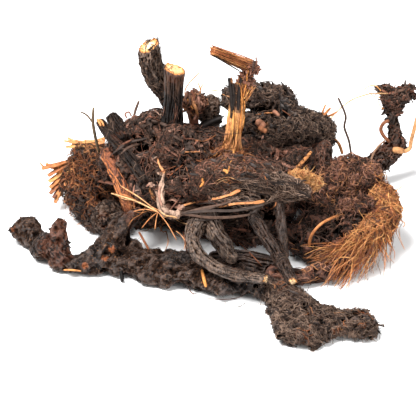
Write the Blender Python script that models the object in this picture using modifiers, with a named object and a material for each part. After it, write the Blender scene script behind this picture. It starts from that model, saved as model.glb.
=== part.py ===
"""A dried clump of nutgrass rootstock: rhizomes, cut stems, husks, straw and root hair.

Metres, +Z up.  The clump lies on z = 0, its long side along X and its front
towards -Y.  Points placed by hand are in millimetres, and MM turns them into
metres.
"""
import math
import random

import bmesh
import bpy
from mathutils import Matrix, Vector, noise
from mathutils.bvhtree import BVHTree

# A clump of another size has another scale, and every piece follows it.
SCALE = 1.0
MM = 0.001 * SCALE

# The sizes that the clump's own size was worked out from, in millimetres.
STUB_RADIUS = 4.1
TUBER_RADIUS = 7.8

# Sizes that every piece shares, in millimetres.
GAP = 0.5
REFIT_GAP = 0.3
SHELL_LIMIT = 2.0
VOXEL = 1.1
HAIR_ROOT = 0.5
HAIR_TIP = 0.36
HAIR_SUNK = 1.2
HAIR_CLEAR = 1.0
HAIR_SWING = 0.5
HAIR_RISE = 0.4
HAIR_BEND = 0.45
HAIR_TRIES = 12
HAIR_FACE = 1.2
UNDERSIDE = -0.7
SHEET = 0.8
HUSK_BOW = 0.012
WELD = 0.002
CARVED_SHARE = 1.15
LONG_STRANDS = 9
LUMP_FACES = 190
FLAT = 0.3
SLAB_SIDE = 400.0
SLAB_DEPTH = 40.0

# The bark's relief: the size of its coarse and fine noise, and their heights.
KNUCKLE_STEP = 0.55
COARSE_SIZE = 8.0
COARSE_HEIGHT = 1.5
FINE_SIZE = 2.6
FINE_HEIGHT = 0.7
DULLNESS = 0.88

# Colours as linear red, green and blue.
COLOURS = {
    "earth": (0.030, 0.021, 0.017),
    "bark": (0.045, 0.034, 0.029),
    "rust": (0.085, 0.040, 0.027),
    "tan": (0.300, 0.140, 0.062),
    "straw": (0.480, 0.290, 0.150),
    "copper": (0.260, 0.105, 0.040),
    "wood": (0.340, 0.170, 0.065),
}


def finish(name):
    """Gives the plain material of that colour, made once."""
    material = bpy.data.materials.get(name)
    if material is None:
        material = bpy.data.materials.new(name)
        material.use_nodes = True
        shader = material.node_tree.nodes["Principled BSDF"]
        shader.inputs["Base Color"].default_value = (*COLOURS[name], 1.0)
        shader.inputs["Roughness"].default_value = DULLNESS
        shader.inputs["Metallic"].default_value = 0.0
    return material


def clear_scene():
    """Removes the objects that a new scene starts with."""
    for obj in list(bpy.data.objects):
        bpy.data.objects.remove(obj, do_unlink=True)


def collection(name):
    """Makes a collection of that name in the scene."""
    group = bpy.data.collections.new(name)
    bpy.context.scene.collection.children.link(group)
    return group


def place(name, mesh, group):
    """Puts a mesh in a collection as a new object."""
    obj = bpy.data.objects.new(name, mesh)
    group.objects.link(obj)
    return obj


def swap_mesh(obj, mesh):
    """Gives an object a new mesh and drops the old one."""
    stale = obj.data
    obj.modifiers.clear()
    obj.data = mesh
    bpy.data.meshes.remove(stale)


def apply_modifier(obj, kind, **settings):
    """Adds one modifier and makes its result the object's own mesh."""
    modifier = obj.modifiers.new(kind.title(), kind)
    for key, value in settings.items():
        setattr(modifier, key, value)
    graph = bpy.context.evaluated_depsgraph_get()
    swap_mesh(obj, bpy.data.meshes.new_from_object(obj.evaluated_get(graph)))


def from_curve(name, curve, group):
    """Makes a curve a closed mesh: its caps are welded to its wall."""
    source = place(name + "_route", curve, group)
    graph = bpy.context.evaluated_depsgraph_get()
    mesh = bpy.data.meshes.new_from_object(source.evaluated_get(graph))
    weld(mesh)
    bpy.data.objects.remove(source, do_unlink=True)
    return place(name, mesh, group)


def weld(mesh):
    """Merges doubled points and turns every face outwards."""
    bm = bmesh.new()
    bm.from_mesh(mesh)
    bmesh.ops.remove_doubles(bm, verts=bm.verts, dist=WELD * MM)
    bmesh.ops.dissolve_degenerate(bm, edges=bm.edges, dist=WELD * MM)
    bmesh.ops.recalc_face_normals(bm, faces=bm.faces)
    bm.to_mesh(mesh)
    bm.free()


def islands(bm):
    """Lists the separate shells of a mesh as lists of faces."""
    left = set(bm.faces)
    shells = []
    while left:
        stack = [left.pop()]
        shell = []
        while stack:
            face = stack.pop()
            shell.append(face)
            for edge in face.edges:
                for other in edge.link_faces:
                    if other in left:
                        left.discard(other)
                        stack.append(other)
        shells.append(shell)
    return shells


def keep_largest(obj):
    """Drops loose scraps and sealed hollows, and keeps the largest shell."""
    bm = bmesh.new()
    bm.from_mesh(obj.data)
    bmesh.ops.remove_doubles(bm, verts=bm.verts, dist=WELD * MM)
    bmesh.ops.dissolve_degenerate(bm, edges=bm.edges, dist=WELD * MM)
    shells = islands(bm)
    largest = max(shells, key=lambda shell: sum(face.calc_area() for face in shell))
    for shell in shells:
        if shell is not largest:
            bmesh.ops.delete(bm, geom=shell, context="FACES")
    bm.to_mesh(obj.data)
    bm.free()


def knuckles(chain):
    """Spaces ellipsoids along a chain of (x, y, z, r) or (x, y, z, rx, ry, rz)."""
    full = [Vector((*k[:3], *(k[3:] if len(k) == 6 else (k[3],) * 3))) for k in chain]
    yield full[0]
    for start, end in zip(full, full[1:]):
        reach = (Vector(end[:3]) - Vector(start[:3])).length
        steps = max(1, math.ceil(reach / (KNUCKLE_STEP * min(*start[3:], *end[3:]))))
        for step in range(1, steps + 1):
            yield start.lerp(end, step / steps)


def roughness_at(point, grain):
    """Height of the bark at a point in millimetres, from coarse and fine noise."""
    place_on_grain = Vector(p * g for p, g in zip(point, grain))
    coarse = noise.fractal(place_on_grain / COARSE_SIZE, 0.9, 2.0, 3)
    fine = noise.fractal(place_on_grain / FINE_SIZE, 0.9, 2.0, 2)
    return COARSE_HEIGHT * coarse + FINE_HEIGHT * fine


def roughen(obj, amount, grain):
    """Moves the surface in and out by the bark's noise."""
    bm = bmesh.new()
    bm.from_mesh(obj.data)
    bm.normal_update()
    moves = [v.normal * roughness_at(v.co / MM, grain) * amount * MM for v in bm.verts]
    for vert, move in zip(bm.verts, moves):
        vert.co += move
    bm.to_mesh(obj.data)
    bm.free()


def thin(obj, triangles):
    """Brings an object down to about that many triangles."""
    apply_modifier(obj, "TRIANGULATE")
    ratio = min(1.0, triangles / max(1, len(obj.data.polygons)))
    apply_modifier(obj, "DECIMATE", ratio=ratio)


def rethin(obj, triangles):
    """Brings a carved lump back towards the triangles that it had before."""
    apply_modifier(obj, "TRIANGULATE")
    now = len(obj.data.polygons)
    if triangles >= LUMP_FACES and now > CARVED_SHARE * triangles:
        apply_modifier(obj, "DECIMATE", ratio=CARVED_SHARE * triangles / now)


def settle(obj):
    """Cuts off what reaches below the ground, which leaves flat resting spots."""
    if min(vert.co.z for vert in obj.data.vertices) > FLAT * MM:
        return
    bpy.ops.mesh.primitive_cube_add(size=1, location=(0, 0, -SLAB_DEPTH * MM / 2))
    slab = bpy.context.active_object
    slab.scale = (SLAB_SIDE * MM, SLAB_SIDE * MM, SLAB_DEPTH * MM)
    bpy.context.view_layer.update()
    apply_modifier(obj, "BOOLEAN", object=slab, operation="DIFFERENCE", solver="EXACT")
    bpy.data.objects.remove(slab, do_unlink=True)
    keep_largest(obj)


def lump(name, group, chains, triangles, rough=1.0, grain=(1, 1, 1), voxel=VOXEL):
    """A grown body: knuckled chains fused, given bark and brought to a few faces."""
    bm = bmesh.new()
    for chain in chains:
        for x, y, z, rx, ry, rz in knuckles(chain):
            spot = Matrix.Translation(Vector((x, y, z)) * MM)
            size = Matrix.Diagonal((rx * MM, ry * MM, rz * MM, 1))
            bmesh.ops.create_icosphere(bm, subdivisions=2, radius=1, matrix=spot @ size)
    mesh = bpy.data.meshes.new(name)
    bm.to_mesh(mesh)
    bm.free()
    obj = place(name, mesh, group)
    apply_modifier(obj, "REMESH", mode="VOXEL", voxel_size=voxel * MM)
    roughen(obj, rough, grain)
    thin(obj, triangles)
    return obj


def section(group, sides, flute=0.0, flat=1.0):
    """A closed outline of radius one that a curve carries along: round, fluted or flat."""
    curve = bpy.data.curves.new("section", "CURVE")
    spline = curve.splines.new("POLY")
    spline.points.add(sides - 1)
    for index, point in enumerate(spline.points):
        angle = math.tau * index / sides
        radius = MM * (1.0 - flute * (index % 2))
        point.co = (radius * math.cos(angle), radius * math.sin(angle) * flat, 0, 1)
    spline.use_cyclic_u = True
    return place("section", curve, group)


def tube(name, group, route, radii, sides=8, flute=0.0, flat=1.0):
    """A stem or root: the outline swept along a route, with its ends closed."""
    outline = section(group, sides, flute, flat)
    curve = bpy.data.curves.new(name, "CURVE")
    curve.dimensions = "3D"
    curve.bevel_mode = "OBJECT"
    curve.bevel_object = outline
    curve.use_fill_caps = True
    spline = curve.splines.new("POLY")
    spline.points.add(len(route) - 1)
    for point, spot, radius in zip(spline.points, route, radii):
        point.co = (*(Vector(spot) * MM), 1)
        point.radius = radius
    obj = from_curve(name, curve, group)
    bpy.data.objects.remove(outline, do_unlink=True)
    return obj


def smooth_route(points, steps):
    """Reads a smooth curve through hand-placed points, a few steps to each span."""
    ends = [Vector(p) for p in (points[0], *points, points[-1])]
    route = []
    for a, b, c, d in zip(ends, ends[1:], ends[2:], ends[3:]):
        for step in range(steps):
            t = step / steps
            bend = 2 * b + (c - a) * t + (2 * a - 5 * b + 4 * c - d) * t * t
            route.append((bend + (3 * b - a - 3 * c + d) * t ** 3) / 2)
    return route + [Vector(points[-1])]


def rootlet(name, group, points, start, end, steps=2, sides=4):
    """A thin round rootlet or wiry stalk that tapers along a smooth route."""
    route = smooth_route(points, steps)
    last = len(route) - 1
    radii = [start + (end - start) * index / last for index in range(last + 1)]
    return tube(name, group, route, radii, sides)


def ribbon(name, group, points, widths, tilt, steps=2):
    """A flat strip: a curve given width along its own normal, then thickness."""
    route = smooth_route(points, steps)
    curve = bpy.data.curves.new(name, "CURVE")
    curve.dimensions = "3D"
    curve.twist_mode = "Z_UP"
    curve.extrude = 0.5 * MM
    spline = curve.splines.new("POLY")
    spline.points.add(len(route) - 1)
    for index, (point, spot) in enumerate(zip(spline.points, route)):
        along = index / (len(route) - 1) * (len(widths) - 1)
        low = min(int(along), len(widths) - 2)
        point.co = (*(spot * MM), 1)
        point.radius = widths[low] + (widths[low + 1] - widths[low]) * (along - low)
        point.tilt = math.radians(tilt)
    obj = from_curve(name, curve, group)
    apply_modifier(obj, "SOLIDIFY", thickness=SHEET * MM, offset=0.0)
    return obj


def husk(name, group, outline, corner, along, up, ribs, depth):
    """A torn sheet: an outline cut by rib lines, folded into ribs and given thickness."""
    along, up = Vector(along).normalized(), Vector(up).normalized()
    out = along.cross(up)
    bm = bmesh.new()
    bm.faces.new([bm.verts.new((u * MM, v * MM, 0)) for u, v in outline])
    low = min(v for _, v in outline)
    high = max(v for _, v in outline)
    for rib in range(1, ribs):
        height = (low + (high - low) * rib / ribs) * MM
        geom = bm.verts[:] + bm.edges[:] + bm.faces[:]
        bmesh.ops.bisect_plane(bm, geom=geom, plane_co=(0, height, 0), plane_no=(0, 1, 0))
    bmesh.ops.remove_doubles(bm, verts=bm.verts, dist=WELD * MM)
    for vert in bm.verts:
        u, v = vert.co.x / MM, vert.co.y / MM
        fold = depth * math.cos(math.pi * ribs * (v - low) / (high - low))
        vert.co = (Vector(corner) + along * u + up * v + out * (fold + HUSK_BOW * u * u)) * MM
    mesh = bpy.data.meshes.new(name)
    bm.to_mesh(mesh)
    bm.free()
    obj = place(name, mesh, group)
    apply_modifier(obj, "SOLIDIFY", thickness=SHEET * MM, offset=0.0)
    weld(obj.data)
    return obj


def unite(obj, extras, group):
    """Fuses a node's repeats to its body with one union, and removes them."""
    if not extras:
        return obj
    bundle = bpy.data.collections.new("bundle")
    bpy.context.scene.collection.children.link(bundle)
    for extra in extras:
        group.objects.unlink(extra)
        bundle.objects.link(extra)
    apply_modifier(obj, "BOOLEAN", operand_type="COLLECTION", collection=bundle,
                   operation="UNION", solver="MANIFOLD")
    for extra in extras:
        bpy.data.objects.remove(extra, do_unlink=True)
    bpy.data.collections.remove(bundle)
    keep_largest(obj)
    return obj


def corners(obj):
    """Lowest and highest corner of an object."""
    spots = [v.co for v in obj.data.vertices]
    low = Vector(min(s[i] for s in spots) for i in range(3))
    high = Vector(max(s[i] for s in spots) for i in range(3))
    return low, high


def near(one, other):
    """Tells whether two objects' boxes come within the gap of each other."""
    low_a, high_a = corners(one)
    low_b, high_b = corners(other)
    room = 2 * GAP * MM
    return all(low_a[i] < high_b[i] + room and low_b[i] < high_a[i] + room for i in range(3))


def volume(mesh):
    """Volume that a closed mesh holds."""
    bm = bmesh.new()
    bm.from_mesh(mesh)
    held = bm.calc_volume(signed=True)
    bm.free()
    return held


def subtract(obj, cutter):
    """Cuts a mesh out of an object, again by the other solver where the first loses it."""
    whole = obj.data.copy()
    apply_modifier(obj, "BOOLEAN", object=cutter, operation="DIFFERENCE", solver="EXACT")
    if volume(whole) - volume(obj.data) > volume(cutter.data):
        swap_mesh(obj, whole)
        apply_modifier(obj, "BOOLEAN", object=cutter, operation="DIFFERENCE",
                       solver="MANIFOLD")
    else:
        bpy.data.meshes.remove(whole)


def carve(obj, keeper, gap, group):
    """Cuts the room of another piece, grown by the gap, out of an object."""
    cutter = place("cutter", keeper.data.copy(), group)
    cutter.hide_render = True
    cutter.display_type = "WIRE"
    bm = bmesh.new()
    bm.from_mesh(cutter.data)
    bm.normal_update()
    moves = [v.normal * gap * MM * min(v.calc_shell_factor(), SHELL_LIMIT) for v in bm.verts]
    for vert, move in zip(bm.verts, moves):
        vert.co += move
    bm.to_mesh(cutter.data)
    bm.free()
    subtract(obj, cutter)
    bpy.data.objects.remove(cutter, do_unlink=True)
    keep_largest(obj)


def tree_of(obj):
    """Search tree of an object's surface, in millimetres."""
    spots = [v.co / MM for v in obj.data.vertices]
    return BVHTree.FromPolygons(spots, [p.vertices[:] for p in obj.data.polygons])


def fit(obj, placed, group):
    """Cuts the pieces placed before out of an object."""
    for keeper in placed:
        if near(obj, keeper):
            carve(obj, keeper, GAP, group)


def refit(obj, placed, group):
    """Cuts once more where thinning brought an object back onto a placed piece."""
    for keeper in placed:
        if near(obj, keeper) and tree_of(obj).overlap(tree_of(keeper)):
            carve(obj, keeper, REFIT_GAP, group)


# The pieces, first those that keep their whole shape, last those that give way.

def make_stem_tall(group):
    """Thick cut stem that stands highest at the left of the middle."""
    route = smooth_route([(-13.6, 31, 42), (-14.2, 31.5, 51), (-16.6, 32, 59), (-21.0, 32, 66),
                          (-22.9, 32, 73), (-23.7, 32, 80.5)], 2)
    swell = (0.83, 0.85, 0.88, 0.95, 1.02, 1.12, 1.18, 1.18, 1.16, 1.1, 1.05)
    return tube("stem_tall", group, route, [STUB_RADIUS * share for share in swell], 12, 0.07)


def make_stem_front(group):
    """Smoother cut stem in front of the tall one, flared at its cut."""
    route = smooth_route([(-14.4, 22, 42), (-14.4, 22, 53), (-13.8, 22, 63), (-13.3, 22, 75)], 2)
    swell = (1.12, 1.16, 1.14, 1.02, 0.98, 1.0, 1.12)
    return tube("stem_front", group, route, [STUB_RADIUS * share for share in swell], 12, 0.06)


def make_stem_broken(group):
    """Split woody stem with its tip snapped over and held by torn fibres."""
    trunk = [(9.6, 12, 42, 4.4, 3.6, 3), (9.9, 12.6, 48.6, 3.4, 3.1, 3), (11.0, 14, 60.9, 3.0),
             (12.2, 15, 67, 3.3, 2.6, 3), (14.4, 16, 73.0, 2.8, 2.2, 2.6)]
    splinter = [(9.5, 14.5, 64, 1.2), (9.2, 14.5, 70, 1.1), (9.2, 14.5, 75.2, 0.7)]
    side = [(15.3, 15, 65.5, 1.3), (17.0, 15.3, 69, 1.1), (18.2, 15.5, 71.6, 0.7)]
    torn = [(14.4, 16, 73.0, 2.2), (16.6, 16.8, 76.6, 2.0), (18.6, 17.4, 78.0, 1.3)]
    body = lump("stem_broken", group, [trunk, splinter, side, torn], 380, 0.3,
                (1.6, 1.6, 0.5), 0.7)
    route = smooth_route([(17.6, 17.6, 77.8), (8.7, 15.0, 83.2), (1.7, 13.0, 87.6)], 2)
    tip = tube("tip", group, route, (2.6, 2.5, 2.3, 2.2, 2.1), 10, 0.1)
    return unite(body, [tip], group)


def make_stem_tan_left(group):
    """Flat fluted tan stem that leans across the left side."""
    route = smooth_route([(-41.9, 25.0, 36.3), (-38.8, 17.5, 34.0), (-35.9, 11.5, 30.4),
                          (-32.9, 5.5, 25.9), (-30.8, 3.5, 19.6)], 2)
    radii = (2.4, 2.6, 2.7, 2.8, 2.8, 2.8, 2.8, 2.7, 2.6)
    return tube("stem_tan_left", group, route, radii, 12, 0.12, 0.8)


def make_stem_dark_a(group):
    """Slim dark stem that leans out at the upper left."""
    route = smooth_route([(-44.3, 31.0, 47.0), (-38.1, 23.5, 42.2), (-30.9, 12.5, 39.0),
                          (-25.6, 4.5, 33.9)], 2)
    return tube("stem_dark_a", group, route, (1.9, 2.2, 2.3, 2.4, 2.3, 2.2, 1.8), 10, 0.1)


def make_stem_dark_b(group):
    """Wider dark stub beside the slim one, torn at its top."""
    route = smooth_route([(-39.5, 33.0, 48.2), (-36.1, 27.5, 45.6), (-33.1, 22.4, 43.8)], 2)
    return tube("stem_dark_b", group, route, (2.6, 3.0, 3.1, 3.0, 2.7), 10, 0.12)


def make_sprout(group):
    """Thin forked shoot above the left mat."""
    body = rootlet("sprout", group, [(-44.8, 34.0, 31.0), (-46.0, 33.0, 38.0), (-46.9, 33, 45.4),
                                     (-46.5, 33, 52.0)], 1.3, 0.4, 2)
    fork = rootlet("fork", group, [(-46.8, 33, 44.6), (-49.2, 33.8, 48.0), (-52.0, 34.4, 49.4)],
                   0.75, 0.4, 2)
    return unite(body, [fork], group)


def make_husk_left(group):
    """Ragged tan husk that sticks out at the far left."""
    outline = [(0, -2.4), (0, 9.4), (5.3, 9.8), (9.4, 8.4), (12.0, 8.0), (14.4, 9.6),
               (13.0, 6.6), (9.6, 6.0), (9.0, 4.1), (10.4, 2.0), (9.3, 0.6), (10.0, -3.4),
               (7.9, -2.2), (7.9, -7.3), (5.6, -3.2), (2.6, -0.4)]
    return husk("husk_left", group, outline, (-55.0, 39.6, 11.6), (-1, 0.16, 0.04),
                (0.0, 0.45, 0.9), 6, 0.45)


def make_husk_upper_left(group):
    """Straw-coloured torn sheet behind the upper left of the mat."""
    outline = [(0, 0), (0, 4.9), (3.8, 3.1), (11.0, 2.7), (14.0, 2.9), (16.6, 4.0), (15.4, 1.5),
               (14.0, 1.3), (15.4, -0.4), (8.0, -0.2)]
    return husk("husk_upper_left", group, outline, (-42.6, 42.6, 28.4), (-1, 0.06, 0.02),
                (0.0, 0.5, 0.87), 3, 0.35)


def make_rolled_bark(group):
    """Curled strip of brown bark between the stems and the grey lump."""
    turns = 1.45
    count = 16
    points = []
    for index in range(count):
        angle = math.tau * turns * index / (count - 1)
        radius = 4.3 - 1.9 * index / (count - 1)
        points.append((-5.6 + radius * math.cos(angle), 33.0 - 0.25 * index,
                       54.2 + radius * math.sin(angle)))
    return ribbon("rolled_bark", group, points, (5.0, 4.0, 3.0), 90, 1)


def make_centre_bark(group):
    """Flattened grey bark body across the middle that tapers to the right."""
    spine = [(-1, -1.0, 36, 6, 5, 8.5), (8, -0.6, 38.0, 8, 5.4, 11), (17, -1.6, 37, 8, 5.4, 10.5),
             (27, -2.8, 35.6, 6.4, 4.8, 7.6), (37, -3.8, 34.2, 4.4, 3.2, 4)]
    skirt = [(4, -6.6, 31.0, 4.5, 3.4, 3.0), (17, -7.6, 30.6, 5, 3.6, 3.2)]
    return lump("centre_bark", group, [spine, skirt], 440, 0.7, (0.35, 1.2, 1.2))


def make_torn_husk(group):
    """Pale frayed husk at the right end of the bark."""
    body = [(34.5, 1.2, 37.2, 2.6, 2, 2.4), (39.6, 0.4, 35.6, 3.4, 2.2, 3.2),
            (44.4, -0.8, 35.2, 2.0, 1.6, 1.8)]
    return lump("torn_husk", group, [body], 170, 0.8, (1, 1, 1), 0.8)


def make_straw_sheath(group):
    """Pale twisted stalk that widens to a sheath and hooks to the right."""
    route = smooth_route([(-20.5, 15.8, 44.1), (-20.0, 9.3, 39.4), (-17.6, 5.2, 37.6),
                          (-18.3, 2.0, 35.7), (-18.7, -1.5, 32.2), (-18.7, -4.0, 27.7),
                          (-16.7, -7.0, 25.7), (-12.3, -8.6, 25.8), (-9.5, -8.0, 30.0)], 2)
    stalk = (0.5, 0.55, 0.6, 0.6, 0.65, 0.75)
    sheath = (0.9, 1.3, 1.6, 1.8, 1.9, 2.0, 2.1, 2.1, 2.0, 1.5, 0.8)
    return tube("straw_sheath", group, route, stalk + sheath, 6, 0.0, 0.6)


def make_straw_rays(group):
    """Thin straws that spread to the left and front from one knot."""
    knot = Vector((-19.8, -9.4, 27.6))
    tips = [(-38.5, -1.0, 31.3), (-34.9, 1.5, 33.4), (-29.6, -6.6, 26.3), (-26.2, -13.4, 22.6),
            (-20.9, -17.0, 24.3), (-12.4, -16.0, 18.6)]
    body = lump("straw_rays", group, [[(*knot, 1.3)]], 40, 0.0, (1, 1, 1), 0.5)
    rays = []
    for index, tip in enumerate(tips):
        middle = knot.lerp(Vector(tip), 0.5) + Vector((0, 0.4, 0.8 - 0.5 * (index % 2)))
        rays.append(rootlet("ray", group, [knot, middle, tip], 0.6, 0.36, 2, 3))
    return unite(body, rays, group)


def make_dried_blades(group):
    """Long dry leaf blades that lie across the front under the bark."""
    root = Vector((-11.0, -12.6, 28.8))
    body = lump("dried_blades", group, [[(*root, 1.7)]], 50, 0.0, (1, 1, 1), 0.6)
    upper = ribbon("blade", group, [root, (-2, -13.0, 31.6), (6.6, -13.2, 33.6),
                                    (11.8, -12.6, 36.4)], (1.6, 1.4, 2.0), 20)
    middle = ribbon("blade", group, [root, (0.0, -14.4, 31.0), (11, -14.8, 31.4),
                                     (21.8, -13.8, 33.4)], (1.6, 1.8, 1.4), 50)
    lower = ribbon("blade", group, [root, (-1.2, -15.2, 28.6), (8, -16.0, 29.0),
                                    (16.5, -15.0, 29.6)], (1.8, 3.0, 1.2), 70)
    return unite(body, [upper, middle, lower], group)


def make_loop_root(group):
    """Ridged root that leaves the crown, forks and bends round to a pale cut."""
    hooked = [(-2.6, -9, 24.6, 4.4), (-5.4, -16, 24.0, 3.6), (-6.6, -21.6, 21.6, 3.0),
              (-4.4, -25.0, 17.8, 2.8), (1.8, -28.6, 14.0, 2.6), (10.4, -32.6, 12.6, 2.4),
              (21.6, -36.4, 13.2, 2.3)]
    straight = [(0.0, -10.0, 24.6, 4.4), (2.8, -16.0, 21.6, 3.7), (6.6, -18.6, 17.0, 3.5),
                (9.4, -20.2, 13.2, 3.0)]
    return lump("loop_root", group, [hooked, straight], 500, 0.45, (0.6, 0.9, 0.9), 0.9)


def make_diagonal_root(group):
    """Two flat roots that run down to the right and join at a torn end."""
    left = [(18.2, -11.4, 26.6, 2.6), (22.4, -15.4, 20.2, 2.6), (26.8, -20.0, 15.4, 3.0),
            (29.8, -25.4, 12.8, 2.8), (31.6, -31.4, 11.8, 2.3), (32.8, -35.0, 11.4, 2.3)]
    right = [(28.0, -5.2, 28.4, 2.6), (28.6, -9.4, 24.8, 2.3), (29.6, -14.2, 18.8, 2.4),
             (30.2, -20.0, 14.8, 2.6)]
    return lump("diagonal_root", group, [left, right], 340, 0.5, (1.2, 0.5, 0.8), 0.9)


def make_front_rhizome(group):
    """Long knotted rhizome along the front left, with a knob, a finger and a branch."""
    knob = [(-77.0, 12.4, 6.4, 4.4, 4.6, 5.4), (-72.4, 11.6, 6.4, 4.4, 4.4, 5.6),
            (-69.0, 5.0, 5.4, 4.4, 4.8, 5.0), (-63.6, -2.4, 6.4, 5.8, 5.4, 6.4),
            (-59.6, -5.6, 7.4, 4.6, 5.0, 7.0)]
    finger = [(-59.2, -4.6, 11, 3.9), (-59.0, -2.4, 16.0, 3.0), (-60.0, -1.6, 18.6, 2.9)]
    body = [(-59.6, -8.0, 5.0, 4.8), (-53.6, -11.0, 3.8, 4, 4.0, 3.8),
            (-47.6, -9.6, 4.8, 5, 6.4, 5.0), (-41.0, -6.4, 5.6, 6, 9.0, 6.2),
            (-32.0, -8.4, 5.4, 6, 9.0, 6.0), (-22.6, -14.4, 5.2, 6, 9, 5.8),
            (-12.0, -16.0, 5.4, 6, 10, 6.0), (-3.0, -17.4, 5.0, 6, 11, 5.6),
            (5.4, -22.6, 4.6, 5.4, 12, 5.0), (14.6, -22.4, 4.2, 6, 8.4, 4.6),
            (21.0, -25.6, 4.0, 4.4, 6.0, 4.2)]
    branch = [(-39.4, -6.0, 10, 6, 5.4, 5), (-34.6, -0.6, 15.4, 5.0), (-29.0, 3.0, 20.4, 3.6)]
    return lump("front_rhizome", group, [knob, finger, body, branch], 780, 1.2)


def make_front_right_rhizome(group):
    """Flat hairy rhizome that reaches out to the front right."""
    stalk = [(26.6, -31.4, 5.2, 6.0, 4.6, 4.6), (29.4, -35.8, 5.0, 8.4, 4.8, 4.6),
             (33.2, -43.0, 4.4, 11.6, 6, 4.8), (35.4, -52.4, 4.2, 12.0, 7, 4.8),
             (37.4, -60.8, 3.8, 12.6, 6.4, 4.4)]
    side = [(40.0, -52.0, 4.2, 8, 8, 4.6), (48.0, -53.0, 4.4, 7.4, 7.6, 4.8)]
    lobe = [(48.0, -54.4, 4.2, 7, 7.0, 4.6), (56.4, -54.4, 4.6, 6.2, 6.6, 5.0),
            (60.8, -55.6, 4.2, 4.6, 6.6, 4.8)]
    return lump("front_right_rhizome", group, [stalk, side, lobe], 440, 1.0)


def make_ground_root(group):
    """Ridged root that lies under the fork."""
    spine = [(3.0, -8.4, 4.2, 4.6, 4.4, 4.6), (14.0, -11.4, 6.4, 5, 4, 4.8),
             (24.0, -14.4, 5.6, 4.6, 3.6, 4.2)]
    return lump("ground_root", group, [spine], 190, 0.7, (0.4, 1, 1))


def make_under_root(group):
    """Reddish root on the ground at the right of the fork."""
    spine = [(27.0, -17.0, 3.6, 3.8, 3.8, 3.4), (36.4, -20.0, 3.6, 4.6, 4.2, 3.8),
             (46.4, -17.0, 4.2, 5, 4.4, 4.2), (55.0, -12.0, 5.0, 4.6, 4.6, 4.6)]
    return lump("under_root", group, [spine], 200, 0.8, (0.5, 1, 1))


def make_upper_rhizome(group):
    """Two stacked hairy lumps at the upper right."""
    lower = [(15.0, 31.0, 44.0, 6.4, 6.0, 5.6), (24.0, 32.0, 43.4, 9, 8, 7.6),
             (35.0, 33.6, 43.0, 10.5, 9, 8.8), (44.0, 35.6, 40.4, 7.8, 8, 7.4)]
    upper = [(8.2, 38.0, 54.6, 3.6, 4.0, 5.4), (16.0, 38.6, 55.6, 6.4, 5.8, 5.4),
             (24.4, 39.6, 54.4, 8.0, 6.4, 5.4), (31.6, 40.0, 50.4, 4.2, 5.0, 4.4)]
    joint = [(28.0, 37.6, 52.0, 5, 5, 5), (31.0, 36.0, 47.0, 5, 5, 5)]
    return lump("upper_rhizome", group, [lower, upper, joint], 580, 1.2, (0.8, 1, 1))


def make_dark_stump(group):
    """Smooth dark stump between the upper rhizome and the right mat."""
    spine = [(46.8, 30.0, 36.0, 4.4, 4.4, 4), (46.0, 25.6, 29.4, 4.8, 4.4, 4),
             (44.6, 20.0, 21.4, 5.2, 4.8, 4)]
    return lump("dark_stump", group, [spine], 170, 0.35)


def make_far_right_root(group):
    """Bent root at the far right that rises to a ragged crown."""
    base = [(60.0, 52.4, 4.0, 5.6, 5, 5.0), (67.0, 58.4, 7.0, 5.4, 5, 5.0),
            (74.6, 63.4, 12.0, 5.2, 4.6, 4.8), (80.4, 66.6, 16.6, 4.4, 4.0, 4.4)]
    neck = [(80.2, 67.4, 17.0, 3.5), (79.4, 69.4, 24.0, 2.8), (78.0, 70.4, 30.0, 3.2)]
    crown = [(78.8, 70.6, 31.0, 3.8, 3.6, 3.4), (79.4, 72.0, 36.8, 6.8, 5.0, 4.2)]
    horns = [[(76.4, 72.4, 38.0, 2.8), (72.6, 73.2, 40.0, 1.7), (70.4, 73.6, 41.0, 0.9)],
             [(82.4, 72.6, 37.8, 3.0), (86.4, 73.0, 40.6, 1.7)],
             [(83.4, 72.6, 36.6, 3.0), (89.0, 73.6, 36.4, 1.8), (92.4, 74.4, 35.0, 1.2)]]
    return lump("far_right_root", group, [base, neck, crown, *horns], 460, 0.6, (1, 1, 1), 0.9)


def make_copper_tuft(group):
    """Pad of coir-like root hair on the right, which the long strands leave."""
    pad = [(71.0, 15.0, 20.4, 3.4, 3, 3.6), (71.6, 7.4, 16.4, 4.0, 3.4, 4.4),
           (65.4, -1.4, 12.2, 4.6, 3.4, 4.6), (56.8, -7.0, 8.8, 4.6, 3.0, 3.8)]
    body = lump("copper_tuft", group, [pad], 240, 0.9)
    strands = []
    for index in range(LONG_STRANDS):
        share = index / (LONG_STRANDS - 1)
        root = Vector((59, -6, 9)).lerp(Vector((70, 2, 13)), share)
        tip = Vector((45.6, -31.6, 1.4)).lerp(Vector((74, -15, 2.4)), share)
        bow = root.lerp(tip, 0.45) + Vector((0, -2.4, 2.6 - 1.2 * (index % 2)))
        strands.append(rootlet("strand", group, [root, bow, tip], 0.55, 0.36, 2, 3))
    return unite(body, strands, group)


def make_left_tuber(group):
    """Round hairy tuber at the lower left."""
    return lump("left_tuber", group, [[(-40.4, 19.4, 7.4, TUBER_RADIUS)]], 200, 0.6)


def make_left_mat(group):
    """Matted body of root hair at the left, around the tuber."""
    upper = [(-50.0, 43.0, 24.0, 7.6, 6.6, 5.8), (-43.0, 40.0, 24.0, 6.6, 6.6, 6)]
    side = [(-51.0, 41.0, 19.0, 8, 7, 7), (-53.0, 36.0, 13.0, 7.6, 8, 8),
            (-50.6, 31.0, 8.4, 6.8, 7.4, 7.6), (-46.0, 24.0, 5.0, 5.4, 6, 5)]
    inner = [(-43.0, 36.0, 20.0, 8, 7, 7), (-36.0, 33.0, 16.0, 7, 7, 8)]
    return lump("left_mat", group, [upper, side, inner], 470, 1.5)


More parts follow.
